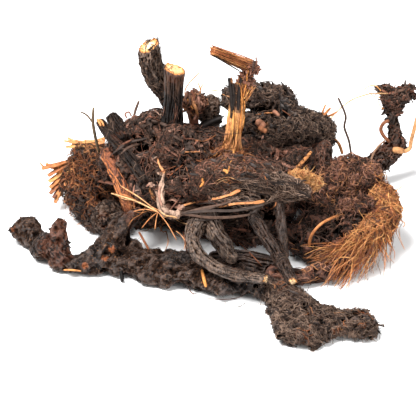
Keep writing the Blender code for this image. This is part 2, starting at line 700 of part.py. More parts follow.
def make_right_mat(group):
    """Reddish matted body at the right, behind the copper tuft."""
    back = [(44.0, 18.0, 17.0, 8, 8, 10), (54.0, 24.0, 23.6, 9.4, 8, 9),
            (63.4, 24.0, 23.0, 9, 8, 9)]
    front = [(44.0, 6.0, 12.0, 8, 8, 9), (54.0, 8.0, 12.4, 10, 9, 10),
             (64.0, 12.0, 12.4, 9, 9, 10)]
    toe = [(37.8, 1.0, 8.6, 6.0, 6.6, 8.6), (46.0, -2.4, 6.0, 7, 6, 6.4),
           (57.0, 0.0, 7.0, 8, 7, 7)]
    return lump("right_mat", group, [back, front, toe], 580, 1.6)


def make_grey_lump(group):
    """Grey knob of rhizome beside the curled bark."""
    spine = [(0.4, 35.4, 46.0, 4.2, 4, 4), (0.6, 36.0, 52.0, 4.2, 4, 4.6)]
    return lump("grey_lump", group, [spine], 130, 0.7)


def make_back_stub(group):
    """Short cut stem that leans out behind."""
    route = smooth_route([(-8.0, 40, 17), (-9.4, 50, 20), (-12.4, 62, 25.4)], 2)
    return tube("back_stub", group, route, (3.4, 3.6, 3.5, 3.3, 3.1), 12, 0.08)


def make_back_root(group):
    """Bent root that lies on the ground behind."""
    spine = [(-34.0, 55.0, 3.4, 3.4), (-20.0, 63.0, 3.2, 3.2), (-2.0, 68.0, 3.2, 3.0),
             (16.0, 66.0, 3.0, 2.8), (30.0, 60.0, 3.2, 2.6)]
    return lump("back_root", group, [spine], 170, 0.5, (0.5, 1, 1))


def make_back_rhizome_left(group):
    """Knotted rhizome on the ground at the back left."""
    spine = [(-44.0, 44.0, 7.0, 7, 6.6, 7), (-32.0, 48.0, 8.0, 8, 7, 8),
             (-18.0, 52.0, 9.0, 8, 7, 8.6), (-6.0, 52.0, 9.4, 7, 7, 9)]
    knob = [(-24.0, 50.0, 14.0, 6, 5.6, 6), (-26.0, 47.0, 22.0, 5, 5, 5)]
    return lump("back_rhizome_left", group, [spine, knob], 300, 1.4)


def make_back_rhizome_right(group):
    """Knotted rhizome on the ground at the back right."""
    spine = [(8.0, 50.0, 9.0, 7, 7, 9), (22.0, 51.0, 9.0, 8, 7, 9), (36.0, 49.0, 8.0, 8, 7, 8),
             (48.0, 45.0, 7.0, 7, 7, 7)]
    knob = [(34.0, 47.0, 14.0, 6, 5.6, 6.4), (38.0, 44.0, 23.0, 5, 5, 5)]
    return lump("back_rhizome_right", group, [spine, knob], 300, 1.4)


def make_back_mat(group):
    """Matted body behind the crown that carries the upper rhizome."""
    low = [(-22.0, 38.0, 24.0, 9, 7, 10), (-4.0, 42.0, 26.0, 10, 7, 11),
           (14.0, 42.0, 28.0, 10, 7, 11), (30.0, 38.0, 26.0, 9, 7, 11)]
    rise = [(16.0, 42.0, 30.0, 8, 6, 8), (24.0, 42.0, 40.0, 7, 5.4, 7)]
    return lump("back_mat", group, [low, rise], 340, 1.6)


def make_crown_mat(group):
    """Great matted crown that carries the stems and the rest."""
    shoulder = [(-37.0, 28.0, 27.0, 8, 8, 9), (-31.0, 27.6, 38.6, 8.6, 8, 9),
                (-22.4, 28.0, 43.4, 10.4, 9, 10.4), (-10.0, 26.0, 38.0, 10, 9, 10),
                (4.0, 25.0, 36.0, 11, 9, 10), (18.0, 23.0, 33.0, 11, 9, 9),
                (32.0, 20.0, 30.0, 9, 8, 9), (38.2, 22.0, 31.0, 6, 7, 8)]
    mound = [(-13.6, 15.4, 45.4, 6.6, 6.2, 7.8), (-4.6, 15.6, 41.6, 7.0, 6.2, 7.2)]
    face = [(-26.6, 12.0, 26.0, 8.6, 8, 9), (-16.0, 8.0, 29.0, 10, 9, 9),
            (-2.0, 6.0, 31.0, 11, 8, 8), (14.0, 8.0, 30.0, 12, 8, 8), (28.0, 9.0, 27.0, 8, 7, 8)]
    middle = [(-32.0, 20.0, 31.0, 8, 8, 8), (-20.0, 17.0, 36.0, 9, 8, 8),
              (-6.0, 15.0, 36.6, 10, 8, 8), (8.0, 15.0, 34.0, 10, 8, 8),
              (24.0, 15.0, 31.0, 9, 8, 8)]
    foot = [(-28.0, 27.0, 12.0, 8, 7, 13), (-14.0, 27.0, 12.0, 9, 7, 13),
            (1.0, 18.0, 13.0, 10, 9, 14), (14.0, 14.0, 14.0, 10, 9, 15),
            (27.0, 14.0, 13.0, 9, 8, 14)]
    return lump("crown_mat", group, [shoulder, mound, middle, face, foot], 880, 1.7)


def make_wire_dark(group):
    """Thin wiry stalk that stands on the right mat."""
    return rootlet("wire_dark", group, [(59.2, 27.0, 27.0), (57.6, 28.4, 38.4),
                                        (55.4, 29.2, 45.0), (55.8, 29.6, 50.2),
                                        (52.6, 30.0, 58.0)], 0.65, 0.5)


def make_arc_rootlet(group):
    """Long pale rootlet that arches from the upper rhizome to the far right."""
    return rootlet("arc_rootlet", group, [(48.6, 38.6, 41.6), (52.8, 41.6, 45.6),
                                          (59.0, 46.6, 48.4), (65.4, 53.0, 47.6),
                                          (69.4, 62.0, 43.6)], 0.7, 0.4)


def make_tan_rootlet(group):
    """Short tan rootlet behind the stump."""
    return rootlet("tan_rootlet", group, [(50.0, 36.0, 37.4), (53.6, 36.0, 34.0),
                                          (55.4, 35.4, 29.4)], 0.9, 0.8)


def make_front_arc_rootlet(group):
    """Tan rootlet bowed over the front of the right mat."""
    return rootlet("front_arc_rootlet", group, [(40.6, -5.0, 8.0), (41.2, -7.4, 15.6),
                                                (45.4, -6.2, 20.6), (51.8, 1.4, 19.6)], 0.6, 0.8)


def make_grey_rootlet(group):
    """Thin rootlet that bends up from the base of the far right root."""
    return rootlet("grey_rootlet", group, [(68.2, 54.0, 10.4), (69.0, 53.4, 17.6),
                                           (71.2, 55.0, 21.6), (75.0, 58.4, 23.6)], 0.6, 0.4)


def make_copper_rootlet(group):
    """Copper loop of rootlet beside the neck of the far right root."""
    return rootlet("copper_rootlet", group, [(78.2, 66.4, 17.2), (75.0, 66.4, 20.8),
                                             (73.4, 66.6, 24.2), (74.6, 67.0, 27.0),
                                             (76.8, 67.6, 27.8)], 1.0, 0.8)


def make_edge_rootlet(group):
    """Tan rootlet that bends out and up at the far right."""
    return rootlet("edge_rootlet", group, [(80.8, 62.0, 16.4), (83.4, 63.0, 15.4),
                                           (85.8, 64.0, 16.4), (86.4, 64.6, 20.0),
                                           (87.6, 65.4, 25.6), (88.8, 66.0, 32.0)], 1.2, 0.6)


MAKERS = [
    (make_stem_broken, "wood"), (make_stem_front, "bark"), (make_stem_tall, "bark"),
    (make_straw_rays, "straw"), (make_dried_blades, "straw"), (make_straw_sheath, "straw"),
    (make_stem_tan_left, "tan"), (make_stem_dark_a, "bark"), (make_stem_dark_b, "bark"),
    (make_sprout, "tan"), (make_husk_left, "tan"), (make_husk_upper_left, "straw"),
    (make_wire_dark, "rust"), (make_arc_rootlet, "straw"), (make_tan_rootlet, "tan"),
    (make_front_arc_rootlet, "tan"), (make_grey_rootlet, "tan"), (make_copper_rootlet, "copper"),
    (make_edge_rootlet, "straw"), (make_loop_root, "bark"), (make_torn_husk, "straw"),
    (make_diagonal_root, "bark"), (make_centre_bark, "bark"), (make_rolled_bark, "rust"),
    (make_grey_lump, "bark"), (make_front_rhizome, "earth"), (make_front_right_rhizome, "earth"),
    (make_left_tuber, "earth"), (make_upper_rhizome, "earth"), (make_dark_stump, "bark"),
    (make_under_root, "rust"), (make_far_right_root, "rust"), (make_copper_tuft, "copper"),
    (make_left_mat, "earth"), (make_right_mat, "rust"), (make_ground_root, "bark"),
    (make_back_stub, "bark"), (make_back_root, "bark"), (make_crown_mat, "rust"),
    (make_back_rhizome_left, "earth"), (make_back_rhizome_right, "earth"),
    (make_back_mat, "rust"),
]

# Root hair of each body: how many, the shortest and longest, and which way they lean.
HAIR = {
    "copper_tuft": (28, 7, 15, (-0.25, -0.50, -0.50)),
    "crown_mat": (22, 5, 9, (0.0, 0.0, 0.2)),
    "upper_rhizome": (18, 4, 7, (0.5, 0.0, 0.1)),
    "left_mat": (16, 4, 7, (-0.4, -0.2, -0.1)),
    "right_mat": (16, 4, 7, (0.3, 0.0, 0.2)),
    "back_mat": (8, 4, 8, (0.0, 0.3, 0.1)),
    "front_right_rhizome": (12, 4, 7, (0.1, -0.4, 0.0)),
    "front_rhizome": (10, 3, 6, (0.0, -0.3, 0.0)),
    "torn_husk": (8, 3, 6, (0.6, -0.3, 0.0)),
    "far_right_root": (6, 3, 6, (0.2, 0.0, 0.6)),
    "back_rhizome_left": (5, 3, 6, (0.0, 0.4, 0.1)),
    "back_rhizome_right": (5, 3, 6, (0.0, 0.4, 0.1)),
}


def hair_route(origin, normal, lean, length, rng):
    """Three points of a bent hair, from below the surface to its tip."""
    swing = Vector([rng.uniform(-HAIR_SWING, HAIR_SWING) for _ in range(3)])
    first = (normal + swing / 2).normalized()
    second = (normal * HAIR_RISE + lean + swing).normalized()
    middle = origin + first * HAIR_BEND * length
    return [origin - normal * HAIR_SUNK, middle, middle + second * (1 - HAIR_BEND) * length]


def samples(route, spacing):
    """Points along a route, at most that far apart."""
    spots = []
    for start, end in zip(route, route[1:]):
        steps = max(1, math.ceil((end - start).length / spacing))
        spots += [start.lerp(end, step / steps) for step in range(steps + 1)]
    return spots


def is_clear(route, trees, taken):
    """Tells whether a hair clears the ground, the other bodies and their hairs."""
    for spot in samples(route, HAIR_CLEAR):
        if spot.z < HAIR_CLEAR:
            return False
        if any(tree.find_nearest(spot, HAIR_CLEAR)[0] is not None for tree in trees):
            return False
        if any((spot - other).length < 2 * HAIR_CLEAR for other in taken):
            return False
    return True


def grow_hair(obj, others, taken, group):
    """Fuses root hairs to a body where they clear all the others."""
    count, shortest, longest, lean = HAIR[obj.name]
    rng = random.Random(obj.name)
    trees = [tree_of(other) for other in others]
    faces = [p for p in obj.data.polygons
             if p.area > HAIR_FACE * MM * MM and p.normal.z > UNDERSIDE]
    own = []
    needles = []
    for _ in range(count * HAIR_TRIES):
        if len(needles) == count:
            break
        face = rng.choice(faces)
        length = rng.uniform(shortest, longest)
        route = hair_route(face.center / MM, face.normal, Vector(lean), length, rng)
        if is_clear(route, trees, taken):
            own += samples(route, HAIR_CLEAR)
            needles.append(tube("hair", group, route, (HAIR_ROOT, HAIR_ROOT, HAIR_TIP), 3))
    unite(obj, needles, group)
    taken += own


def centre_on_box(placed):
    """Moves the clump so that its origin is under the middle of its box."""
    lows, highs = zip(*(corners(obj) for obj in placed))
    low = Vector(min(spot[i] for spot in lows) for i in range(2))
    high = Vector(max(spot[i] for spot in highs) for i in range(2))
    middle = (low + high) / 2
    for obj in placed:
        obj.data.transform(Matrix.Translation((-middle.x, -middle.y, 0)))


def main():
    """Builds every piece, fits each to those before it, and grows the root hair."""
    clear_scene()
    clump = collection("nutgrass_root")
    placed = []
    for maker, colour in MAKERS:
        obj = maker(clump)
        faces = len(obj.data.polygons)
        fit(obj, placed, clump)
        rethin(obj, faces)
        refit(obj, placed, clump)
        settle(obj)
        obj.data.materials.clear()
        obj.data.materials.append(finish(colour))
        placed.append(obj)
    taken = []
    for name in HAIR:
        body = bpy.data.objects[name]
        grow_hair(body, [obj for obj in placed if obj is not body], taken, clump)
    centre_on_box(placed)


if __name__ == "__main__":
    main()
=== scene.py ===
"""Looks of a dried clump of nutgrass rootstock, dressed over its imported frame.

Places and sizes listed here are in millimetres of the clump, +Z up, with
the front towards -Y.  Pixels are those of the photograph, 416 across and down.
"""

import logging
import math
import random
from dataclasses import dataclass, field, fields, replace
from enum import Enum
from typing import ClassVar, Iterable, Sequence

import bpy
import numpy as np
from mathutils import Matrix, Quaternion, Vector, noise
from mathutils.bvhtree import BVHTree


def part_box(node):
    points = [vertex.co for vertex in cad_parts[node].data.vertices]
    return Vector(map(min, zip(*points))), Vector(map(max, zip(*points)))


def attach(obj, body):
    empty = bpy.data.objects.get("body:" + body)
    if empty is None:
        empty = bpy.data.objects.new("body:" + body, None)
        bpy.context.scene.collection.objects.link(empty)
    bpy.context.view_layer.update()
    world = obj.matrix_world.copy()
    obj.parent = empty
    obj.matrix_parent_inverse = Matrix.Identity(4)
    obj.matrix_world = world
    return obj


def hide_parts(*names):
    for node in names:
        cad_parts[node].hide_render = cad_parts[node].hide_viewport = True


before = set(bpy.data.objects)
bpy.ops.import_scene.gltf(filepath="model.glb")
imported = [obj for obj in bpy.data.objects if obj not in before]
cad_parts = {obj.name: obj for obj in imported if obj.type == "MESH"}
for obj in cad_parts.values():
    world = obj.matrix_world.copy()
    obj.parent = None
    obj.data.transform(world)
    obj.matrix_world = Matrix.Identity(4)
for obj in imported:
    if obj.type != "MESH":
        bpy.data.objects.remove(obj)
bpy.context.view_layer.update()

LOG = logging.getLogger("nutgrass_root")
MM = 0.001
BODY = "root"
MERGE = 0.00002
HEIGHT = "height"
HEIGHT_SPAN = 1.3
STEM_FRONT_CORNER = (-18.908, 17.244)
LIGHT = 1.05
Spot = tuple[float, float, float]
Pixel = tuple[float, float]


class Tone(Enum):
    """Colours of the clump, as red, green and blue of a screen, 0 to 255."""

    VOID = (12, 9, 8)
    PEAT = (34, 27, 24)
    LOAM = (56, 44, 38)
    CHARCOAL = (66, 60, 58)
    SLATE = (112, 107, 104)
    UMBER = (88, 65, 53)
    DUN = (136, 112, 96)
    RUST = (116, 72, 55)
    FLAKE = (156, 112, 94)
    RUSSET = (148, 84, 50)
    TAN = (190, 130, 84)
    ORANGE = (206, 134, 70)
    HONEY = (214, 156, 94)
    AMBER = (232, 176, 108)
    COPPER = (182, 114, 68)
    STRAW = (216, 174, 124)
    CREAM = (240, 216, 176)
    BLUSH = (180, 148, 128)
    OLIVE = (104, 92, 66)

    def linear(self) -> tuple[float, float, float, float]:
        """Gives the colour as the linear values that a shader takes under the studio's light."""
        return (*(self._channel(value / 255) / LIGHT for value in self.value), 1.0)

    @staticmethod
    def _channel(value: float) -> float:
        """Turns one screen value into a linear one."""
        return value / 12.92 if value <= 0.04045 else ((value + 0.055) / 1.055) ** 2.4


def find_shift() -> Vector:
    """Works out how far the frame lies from the clump's listed millimetres."""
    low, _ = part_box("stem_front")
    return Vector((low.x / MM - STEM_FRONT_CORNER[0], low.y / MM - STEM_FRONT_CORNER[1], 0.0))


SHIFT = find_shift()


def at(x: float, y: float, z: float) -> Vector:
    """Turns a listed spot in millimetres into the frame's metres."""
    return (Vector((x, y, z)) + SHIFT) * MM


def smooth_path(points: Sequence[Vector], steps: int) -> list[Vector]:
    """Reads a smooth curve through points.

    Args:
        points: the points that the curve passes through.
        steps: how many stretches each span between two points is cut into.

    Returns:
        The points along the curve, both ends included.
    """
    ends = [points[0], *points, points[-1]]
    path = []
    for a, b, c, d in zip(ends, ends[1:], ends[2:], ends[3:]):
        for step in range(steps):
            t = step / steps
            bend = 2 * b + (c - a) * t + (2 * a - 5 * b + 4 * c - d) * t * t
            path.append((bend + (3 * b - a - 3 * c + d) * t ** 3) / 2)
    return path + [points[-1].copy()]


class Bench:
    """Blender's operators, used on one object at a time."""

    @staticmethod
    def only(obj: bpy.types.Object) -> None:
        """Selects one object alone and makes it the active one.

        Args:
            obj: the object.
        """
        bpy.ops.object.select_all(action="DESELECT")
        obj.select_set(True)
        bpy.context.view_layer.objects.active = obj

    @staticmethod
    def hang(name: str, data: bpy.types.ID) -> bpy.types.Object:
        """Puts a mesh or curve into the scene as a new object.

        Args:
            name: the object's name.
            data: its mesh, curve, light or camera.

        Returns:
            The object.
        """
        obj = bpy.data.objects.new(name, data)
        bpy.context.scene.collection.objects.link(obj)
        return obj

    @staticmethod
    def modify(obj: bpy.types.Object, kind: str, **settings: object) -> None:
        """Adds one modifier to an object and applies it.

        Args:
            obj: the mesh object.
            kind: the modifier's type.
            **settings: the modifier's properties.
        """
        Bench.only(obj)
        modifier = obj.modifiers.new(kind.title(), kind)
        for key, value in settings.items():
            setattr(modifier, key, value)
        bpy.ops.object.modifier_apply(modifier=modifier.name)

    @staticmethod
    def merge(obj: bpy.types.Object, distance: float = MERGE, outwards: bool = False) -> None:
        """Merges doubled points in edit mode.

        Args:
            obj: the mesh object.
            distance: points closer than this become one, in metres.
            outwards: whether the faces are then turned to point outwards.
        """
        Bench.only(obj)
        bpy.ops.object.mode_set(mode="EDIT")
        bpy.ops.mesh.select_all(action="SELECT")
        bpy.ops.mesh.remove_doubles(threshold=distance)
        if outwards:
            bpy.ops.mesh.normals_make_consistent(inside=False)
        bpy.ops.object.mode_set(mode="OBJECT")

    @staticmethod
    def mark_heights(obj: bpy.types.Object, rounds: int = 24) -> None:
        """Stores on every point how far it stands out of the smoothed surface.

        Args:
            obj: the body.
            rounds: how often the surface is smoothed for that.
        """
        spots = Bench.points(obj)
        edges = np.empty(2 * len(obj.data.edges), np.int32)
        obj.data.edges.foreach_get("vertices", edges)
        first, second = edges.reshape(-1, 2).T
        count = np.bincount(edges, minlength=len(spots))[:, None]
        smooth = spots
        for _ in range(rounds):
            total = [np.bincount(first, smooth[second, axis], len(spots))
                     + np.bincount(second, smooth[first, axis], len(spots)) for axis in range(3)]
            smooth = 0.5 * (smooth + np.stack(total, axis=1) / count)
        rise = ((spots - smooth) * Bench.normals(obj)).sum(1) / (HEIGHT_SPAN * MM)
        layer = obj.data.attributes.new(HEIGHT, "FLOAT", "POINT")
        layer.data.foreach_set("value", np.clip(0.5 + rise, 0.0, 1.0).astype(np.float32))

    @staticmethod
    def keep_largest(obj: bpy.types.Object) -> bpy.types.Object:
        """Drops the crumbs that lie loose beside a body.

        Args:
            obj: the mesh object.

        Returns:
            The object that holds the largest of its shells.
        """
        name = obj.name
        Bench.only(obj)
        bpy.ops.mesh.separate(type="LOOSE")
        shells = sorted(bpy.context.selected_objects, key=lambda part: len(part.data.polygons))
        for crumb in shells[:-1]:
            bpy.data.meshes.remove(crumb.data)
        shells[-1].name = name
        return shells[-1]

    @staticmethod
    def copy_node(node: str, name: str) -> bpy.types.Object:
        """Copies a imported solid's mesh, merged, as a new piece.

        Args:
            node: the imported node.
            name: the new piece's name.

        Returns:
            The new piece, with no material.
        """
        obj = Bench.hang(name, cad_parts[node].data.copy())
        obj.data.name = name
        obj.data.materials.clear()
        Bench.merge(obj)
        return obj

    @staticmethod
    def read(items: bpy.types.bpy_prop_collection, key: str, width: int = 3) -> np.ndarray:
        """Reads one value of every point or face of a mesh.

        Args:
            items: the points or faces.
            key: the value's name.
            width: how many numbers make one value.

        Returns:
            One row for each point or face.
        """
        values = np.empty(len(items) * width, np.float32)
        items.foreach_get(key, values)
        return values.reshape(-1, width)

    @staticmethod
    def points(obj: bpy.types.Object) -> np.ndarray:
        """Reads the places of a mesh's points, in metres."""
        return Bench.read(obj.data.vertices, "co").astype(float)

    @staticmethod
    def normals(obj: bpy.types.Object) -> np.ndarray:
        """Reads the directions that a mesh's points face."""
        return Bench.read(obj.data.vertices, "normal").astype(float)

    @staticmethod
    def move(obj: bpy.types.Object, spots: np.ndarray) -> None:
        """Writes new places for a mesh's points, none of them below the ground.

        Args:
            obj: the mesh object.
            spots: the places in metres.
        """
        spots[:, 2] = np.maximum(spots[:, 2], 0.0)
        obj.data.vertices.foreach_set("co", spots.astype(np.float32).ravel())
        obj.data.update()


@dataclass(frozen=True)
class Eye:
    """The photograph's camera: a long lens that looks down on the clump."""

    target: Spot = (0.0, 0.0, 24.0)
    elevation: float = 30.0
    distance: float = 924.44
    lens: float = 200.0
    sensor: float = 36.0
    pixels: float = 416.0

    def back(self) -> Vector:
        """Gives the direction from the clump to the camera."""
        tilt = math.radians(self.elevation)
        return Vector((0.0, -math.cos(tilt), math.sin(tilt)))

    def place(self) -> Vector:
        """Gives the camera's place in metres."""
        return at(*self.target) + self.back() * self.distance * MM

    def ray(self, pixel: Pixel) -> Vector:
        """Gives the direction in which the camera sees a pixel.

        Args:
            pixel: the pixel, across and down.

        Returns:
            A direction of length one.
        """
        spread = self.sensor / self.lens / self.pixels
        across = (pixel[0] - self.pixels / 2) * spread
        upwards = (self.pixels / 2 - pixel[1]) * spread
        up = self.back().cross(Vector((1.0, 0.0, 0.0)))
        return (Vector((across, 0.0, 0.0)) + up * upwards - self.back()).normalized()

    def stand(self) -> None:
        """Puts the camera in the scene."""
        data = bpy.data.cameras.new("camera")
        data.lens = self.lens
        data.sensor_width = self.sensor
        data.clip_end = 10.0
        camera = Bench.hang("camera", data)
        camera.location = self.place()
        camera.rotation_euler = (math.radians(90.0 - self.elevation), 0.0, 0.0)
        bpy.context.scene.camera = camera


@dataclass(frozen=True)
class Zone:
    """A stretch of a surface that has a tone of its own."""

    centre: Spot
    reach: float
    tone: Tone
    strength: float = 0.9


class Nodes:
    """Writes the node tree of one material, with sizes in millimetres."""

    ZONE_EDGE = 0.6
    ZONE_RAGGED = 0.35
    RAGGED_SIZE = 2.2
    TINT_SIZE = 1.2
    DULL = 0.15

    def __init__(self, name: str, roughness: float = 0.85) -> None:
        """Starts a material with one Principled shader.

        Args:
            name: the material's name.
            roughness: how matt the whole surface is.
        """
        self.material = bpy.data.materials.new(name)
        self.material.use_nodes = True
        self.tree = self.material.node_tree
        self.surface = self.tree.nodes["Principled BSDF"]
        self.surface.inputs["Roughness"].default_value = roughness
        self.surface.inputs["Specular IOR Level"].default_value = self.DULL
        self.place = self.add("ShaderNodeTexCoord").outputs["Object"]
        self.geometry = self.add("ShaderNodeNewGeometry")

    def add(self, kind: str) -> bpy.types.Node:
        """Adds one node."""
        return self.tree.nodes.new(kind)

    def link(self, source: bpy.types.NodeSocket, target: bpy.types.NodeSocket) -> None:
        """Joins two sockets."""
        self.tree.links.new(source, target)

    def stretched(self, along: Sequence[float], ratio: float) -> bpy.types.NodeSocket:
        """Gives object coordinates drawn out along one direction.

        Args:
            along: the direction of the grain.
            ratio: how many times longer than wide the pattern becomes.

        Returns:
            The mapped coordinates.
        """
        turn = Vector(along).normalized().rotation_difference(Vector((0, 0, 1)))
        node = self.add("ShaderNodeMapping")
        node.inputs["Rotation"].default_value = turn.to_euler()
        node.inputs["Scale"].default_value = (1.0, 1.0, 1.0 / ratio)
        self.link(self.place, node.inputs["Vector"])
        return node.outputs["Vector"]

    def noise(self, size: float, detail: float = 5.0, rough: float = 0.65,
              vector: bpy.types.NodeSocket | None = None) -> bpy.types.NodeSocket:
        """Gives a cloudy value.

        Args:
            size: the size of its lumps in millimetres.
            detail: how many finer layers it has.
            rough: how strong the finer layers are.
            vector: the coordinates, or None for plain object coordinates.

        Returns:
            A value from 0 to 1.
        """
        node = self.add("ShaderNodeTexNoise")
        node.inputs["Scale"].default_value = 1.0 / (size * MM)
        node.inputs["Detail"].default_value = detail
        node.inputs["Roughness"].default_value = rough
        self.link(vector or self.place, node.inputs["Vector"])
        return node.outputs["Fac"]

    def height(self) -> bpy.types.NodeSocket:
        """Gives how far the body's surface stands out at each point, 0.5 being level.

        Returns:
            A value from 0 to 1.
        """
        node = self.add("ShaderNodeAttribute")
        node.attribute_name = HEIGHT
        return node.outputs["Fac"]

    def ramp(self, value: bpy.types.NodeSocket,
             *stops: tuple[float, Tone | float]) -> bpy.types.NodeSocket:
        """Turns a value into a colour.

        Args:
            value: the value to read.
            *stops: pairs of a position and a tone, or a grey as a number.

        Returns:
            The colour.
        """
        node = self.add("ShaderNodeValToRGB")
        band = node.color_ramp.elements
        while len(band) < len(stops):
            band.new(0.5)
        for element, (position, tone) in zip(band, stops):
            element.position = position
            element.color = tone.linear() if isinstance(tone, Tone) else (tone, tone, tone, 1.0)
        self.link(value, node.inputs["Fac"])
        return node.outputs["Color"]

    def mix(self, amount: bpy.types.NodeSocket | float, first: bpy.types.NodeSocket,
            second: bpy.types.NodeSocket | Tone, blend: str = "MIX") -> bpy.types.NodeSocket:
        """Mixes two colours.

        Args:
            amount: how much of the second colour shows.
            first: the colour below.
            second: the colour above, or a tone.
            blend: the way they are mixed.

        Returns:
            The mixed colour.
        """
        node = self.add("ShaderNodeMix")
        node.data_type = "RGBA"
        node.blend_type = blend
        if isinstance(amount, float):
            node.inputs[0].default_value = amount
        else:
            self.link(amount, node.inputs[0])
        self.link(first, node.inputs[6])
        if isinstance(second, Tone):
            node.inputs[7].default_value = second.linear()
        else:
            self.link(second, node.inputs[7])
        return node.outputs[2]

    def away_from(self, centre: Vector, reach: float) -> bpy.types.NodeSocket:
        """Gives 0 at a spot and 1 at a distance from it.

        Args:
            centre: the spot in metres.
            reach: the distance in millimetres.

        Returns:
            The share of that distance.
        """
        gap = self.add("ShaderNodeVectorMath")
        gap.operation = "DISTANCE"
        gap.inputs[1].default_value = centre
        self.link(self.place, gap.inputs[0])
        share = self.add("ShaderNodeMath")
        share.operation = "DIVIDE"
        share.inputs[1].default_value = reach * MM
        self.link(gap.outputs["Value"], share.inputs[0])
        return share.outputs[0]

    def zoned(self, colour: bpy.types.NodeSocket, zones: Sequence[Zone]) -> bpy.types.NodeSocket:
        """Tints stretches of a surface, with ragged edges.

        Args:
            colour: the colour of the rest.
            zones: the stretches and their tones.

        Returns:
            The colour with the stretches in it.
        """
        for zone in zones:
            share = self.away_from(at(*zone.centre), zone.reach / self.ZONE_EDGE)
            ragged = self.add("ShaderNodeMath")
            ragged.operation = "MULTIPLY_ADD"
            ragged.inputs[1].default_value = self.ZONE_RAGGED
            self.link(self.noise(self.RAGGED_SIZE, 5.0, 0.7), ragged.inputs[0])
            self.link(share, ragged.inputs[2])
            rim = self.ZONE_EDGE + 0.5 * self.ZONE_RAGGED
            amount = self.ramp(ragged.outputs[0], (rim - 0.05, zone.strength), (rim + 0.05, 0.0))
            tint = self.ramp(self.noise(self.TINT_SIZE, 5.0, 0.7), (0.30, Tone.PEAT), (0.55, zone.tone))
            colour = self.mix(amount, colour, tint)
        return colour

    def relief(self, height: bpy.types.NodeSocket, depth: float, strength: float = 1.0) -> None:
        """Adds bump to the surface.

        Args:
            height: the value that is read as height.
            depth: its depth in millimetres.
            strength: how much of it shows.
        """
        node = self.add("ShaderNodeBump")
        node.inputs["Strength"].default_value = strength
        node.inputs["Distance"].default_value = depth * MM
        self.link(height, node.inputs["Height"])
        if self.surface.inputs["Normal"].links:
            self.link(self.surface.inputs["Normal"].links[0].from_socket, node.inputs["Normal"])
        self.link(node.outputs["Normal"], self.surface.inputs["Normal"])

    def paint(self, colour: bpy.types.NodeSocket) -> bpy.types.Material:
        """Sets the shader's colour and gives the finished material."""
        self.link(colour, self.surface.inputs["Base Color"])
        return self.material


@dataclass(frozen=True)
class Finish:
    """A finish has a name, is made once and is then shared."""

    name: str

    def material(self) -> bpy.types.Material:
        """Gives the material, made the first time it is asked for."""
        return bpy.data.materials.get(self.name) or self.write()

    def write(self) -> bpy.types.Material:
        """Writes the material's nodes."""
        raise NotImplementedError


@dataclass(frozen=True)
class Bark(Finish):
    """Dark rough bark: mottled and specked, with painted highlight on its ridges and painted shade in its
    crevices and pits.
    """

    deep: Tone = Tone.PEAT
    base: Tone = Tone.CHARCOAL
    light: Tone = Tone.DUN
    patch: Tone = Tone.RUST
    patches: float = 0.5
    grain: float = 2.4
    along: Spot = (1.0, 0.0, 0.0)
    drawn: float = 1.0
    speck: float = 0.75
    matt: float = 0.58
    # How far the painted highlight on the relief's crests goes towards the light tone.
    crest: float = 0.5
    gloss: float = 0.45
    zones: tuple[Zone, ...] = ()

    PATCH_SIZE: ClassVar[float] = 13.0
    SPECK_SIZE: ClassVar[float] = 0.8
    FINE_SIZE: ClassVar[float] = 0.6
    LUMP_DEPTH: ClassVar[float] = 1.4
    FINE_DEPTH: ClassVar[float] = 0.45
    # Painted shade: the pointiness ramp darkens creases and crevices and leaves ridges at full colour.
    WORN: ClassVar[tuple[Pixel, ...]] = ((0.42, 0.15), (0.49, 0.7), (0.54, 1.0))
    # Painted shade: the stored height ramp darkens the pits.
    PITS: ClassVar[tuple[Pixel, ...]] = ((0.20, 0.03), (0.42, 0.5), (0.56, 1.0))

    def write(self) -> bpy.types.Material:
        """Writes the bark's nodes.

        Returns:
            The material.
        """
        nodes = Nodes(self.name, self.matt)
        flow = nodes.stretched(self.along, self.drawn)
        lumps = nodes.noise(self.grain, 8.0, 0.75, flow)
        body = self.mottled(nodes, lumps)
        # Painted shade in the crevices, read from the pointiness.
        crevice_shade = nodes.ramp(nodes.geometry.outputs["Pointiness"], *self.WORN)
        body = nodes.mix(1.0, body, crevice_shade, "MULTIPLY")
        # Painted highlight: the crests of the stored height are lightened towards the light tone.
        painted_crest_highlight = nodes.ramp(nodes.height(), (0.55, 0.0), (0.85, self.crest))
        body = nodes.zoned(nodes.mix(painted_crest_highlight, body, self.light), self.zones)
        # Painted shade in the pits, read from the stored height.
        body = nodes.mix(1.0, body, nodes.ramp(nodes.height(), *self.PITS), "MULTIPLY")
        shine = nodes.ramp(nodes.height(), (0.50, 0.0), (0.75, self.gloss))
        nodes.link(shine, nodes.surface.inputs["Specular IOR Level"])
        nodes.relief(lumps, self.LUMP_DEPTH, 0.9)
        nodes.relief(nodes.noise(self.FINE_SIZE, 4.0, 0.7, flow), self.FINE_DEPTH, 0.8)
        return nodes.paint(body)

    def mottled(self, nodes: Nodes, lumps: bpy.types.NodeSocket) -> bpy.types.NodeSocket:
        """Colours the lumps, with stained patches and fine tan specks.

        Args:
            nodes: the material's nodes.
            lumps: the value that tells lumps from hollows.

        Returns:
            The colour.
        """
        body = nodes.ramp(lumps, (0.30, self.deep), (0.47, self.base), (0.62, self.light))
        edge = 0.62 - 0.2 * self.patches
        where = nodes.ramp(nodes.noise(self.PATCH_SIZE, 4.0, 0.6), (edge, 0.0), (edge + 0.1, 1.0))
        stain = nodes.ramp(lumps, (0.30, self.deep), (0.55, self.patch))
        specks = nodes.ramp(nodes.noise(self.SPECK_SIZE, 3.0, 0.7), (0.62, 0.0), (0.68, self.speck))
        return nodes.mix(specks, nodes.mix(where, body, stain), Tone.TAN)


